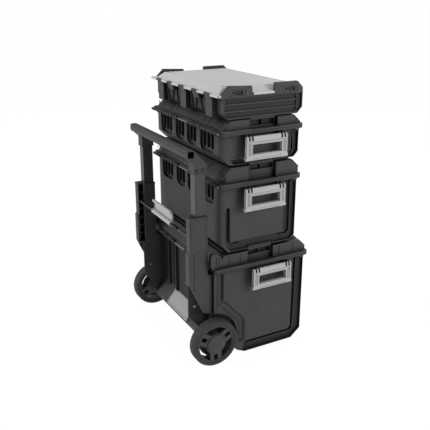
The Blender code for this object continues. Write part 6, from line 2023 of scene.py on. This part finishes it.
class Studio:
    """Floor, lamps, background and the camera at the photograph's viewing angle."""

    camera_spot = Vector((-1.99133, 1.10960, 1.28586))
    look_at = Vector((0.0, 0.0343, 0.4626))
    focal_length = 51.90
    sensor = 36.0
    floor_half = 30.0
    floor_share = 0.94
    floor_glow = 1.03
    sky = 0.40
    lamps = (
        ("side_lamp", (-3.6, -2.4, 2.0), 2.2, 98.0),
        ("rear_lamp", (1.6, 3.8, 2.3), 2.2, 98.0),
        ("top_lamp", (0.2, 0.2, 4.2), 2.4, 42.0),
        ("front_lamp", (2.2, -3.4, 2.8), 2.6, 40.0),
    )

    def build(self) -> None:
        """Make everything that isn't part of the object."""
        self.make_camera()
        self.make_floor()
        self.make_world()
        for lamp in self.lamps:
            self.make_lamp(*lamp)
        bpy.context.scene.view_settings.view_transform = "Standard"

    def make_camera(self) -> None:
        """Place the camera where the photograph was taken from."""
        data = bpy.data.cameras.new("camera")
        data.lens = self.focal_length
        data.sensor_fit = "HORIZONTAL"
        data.sensor_width = self.sensor
        camera = bpy.data.objects.new("camera", data)
        camera.location = self.camera_spot
        sight = self.look_at - self.camera_spot
        camera.rotation_euler = sight.to_track_quat("-Z", "Y").to_euler()
        bpy.context.scene.collection.objects.link(camera)
        bpy.context.scene.camera = camera

    def make_floor(self) -> None:
        """Lay a pale floor that the camera sees as white with the object's soft shadow."""
        half = self.floor_half
        mesh = bpy.data.meshes.new("floor")
        corners = [(-half, -half, 0), (half, -half, 0), (half, half, 0), (-half, half, 0)]
        mesh.from_pydata(corners, [], [(0, 1, 2, 3)])
        floor = bpy.data.objects.new("floor", mesh)
        floor.location.z = -0.2 * MM
        bpy.context.scene.collection.objects.link(floor)
        recipe = Recipe("floor_paint")
        recipe.finish(Base_Color=(0.94, 0.94, 0.94, 1.0), Roughness=1.0)
        recipe.shader.inputs["Specular IOR Level"].default_value = 0.0
        seen = self.seen_directly(recipe)
        glow = recipe.node(
            "ShaderNodeEmission",
            inputs={"Color": (1.0, 1.0, 1.0, 1.0), "Strength": self.floor_glow},
        )
        paint = Signal(recipe, recipe.shader.outputs[0])
        mixed = recipe.node(
            "ShaderNodeMixShader", inputs={0: seen * self.floor_share, 1: paint, 2: glow}
        )
        recipe.feed(recipe.nodes["Material Output"].inputs["Surface"], mixed)
        mesh.materials.append(recipe.material)

    def seen_directly(self, recipe: Recipe) -> Signal:
        """1 for rays of the camera and for mirrored or refracted ones."""
        camera = recipe.node("ShaderNodeLightPath", output="Is Camera Ray")
        path = camera.socket.node
        glossy = Signal(recipe, path.outputs["Is Glossy Ray"])
        clear = Signal(recipe, path.outputs["Is Transmission Ray"])
        return recipe.maths("MAXIMUM", camera, recipe.maths("MAXIMUM", glossy, clear))

    def make_world(self) -> None:
        """Light the scene evenly, and show white behind it."""
        world = bpy.data.worlds.new("studio")
        bpy.context.scene.world = world
        world.use_nodes = True
        nodes, links = world.node_tree.nodes, world.node_tree.links
        light = nodes["Background"]
        light.inputs["Color"].default_value = (1.0, 1.0, 1.0, 1.0)
        light.inputs["Strength"].default_value = self.sky
        shown = nodes.new("ShaderNodeBackground")
        shown.inputs["Color"].default_value = (1.0, 1.0, 1.0, 1.0)
        path = nodes.new("ShaderNodeLightPath")
        mixed = nodes.new("ShaderNodeMixShader")
        links.new(path.outputs["Is Camera Ray"], mixed.inputs[0])
        links.new(light.outputs[0], mixed.inputs[1])
        links.new(shown.outputs[0], mixed.inputs[2])
        links.new(mixed.outputs[0], nodes["World Output"].inputs["Surface"])

    def make_lamp(self, name: str, spot: Point, size: float, power: float) -> None:
        """Hang a square soft lamp that looks at the middle of the stack.

        Args:
            name: Name of the lamp.
            spot: Where it hangs.
            size: Side of the lamp.
            power: Its power in watts.
        """
        data = bpy.data.lights.new(name, "AREA")
        data.shape = "SQUARE"
        data.size = size
        data.energy = power
        lamp = bpy.data.objects.new(name, data)
        lamp.location = spot
        sight = self.look_at - Vector(spot)
        lamp.rotation_euler = sight.to_track_quat("-Z", "Y").to_euler()
        bpy.context.scene.collection.objects.link(lamp)


MEDIUM_PANEL_RIBS = (((0.116, 0.581), (0.115, 0.459)), ((0.1335, 0.574), (0.1335, 0.459)))
MEDIUM_CHANNEL_RIBS = (
    ((-0.130, 0.648), (-0.133, 0.460), (-0.121, 0.447), (-0.091, 0.447)),
    ((0.115, 0.457), (0.100, 0.446), (0.075, 0.447)),
)
SMALL_PANEL_RIBS = (
    ((-0.121, 0.825), (-0.120, 0.771), (-0.111, 0.759), (-0.105, 0.757)),
    ((0.116, 0.761), (0.085, 0.758)),
)
SMALL_CHANNEL_RIBS = (((-0.130, 0.823), (-0.135, 0.765), (-0.124, 0.749)),)


def main() -> None:
    """Build the studio and then the stack, from the floor up."""
    logging.basicConfig(level=logging.INFO, format="%(name)s: %(message)s")
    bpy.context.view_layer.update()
    Studio().build()
    shop = Workshop()
    WheeledBin(shop, "bin", BIN).build()
    WheelPair(shop).build()
    HandleFrame(shop).build()
    ReleaseGear(shop).build()
    StackBox(
        shop, "medium", MEDIUM, panel_ribs=MEDIUM_PANEL_RIBS, channel_ribs=MEDIUM_CHANNEL_RIBS,
        panel_front=-0.104,
    ).build()
    StackBox(
        shop, "small", SMALL, panel_ribs=SMALL_PANEL_RIBS, channel_ribs=SMALL_CHANNEL_RIBS,
        panel_low=0.018, channel_rear=0.118,
    ).build()
    OrganizerTray(shop, "organizer", ORGANIZER).build()
    LatchSet(shop).build()
    Fasteners(shop).build()
    shop.take_over_rest(SMALL_EDGE)


if __name__ == "__main__":
    main()
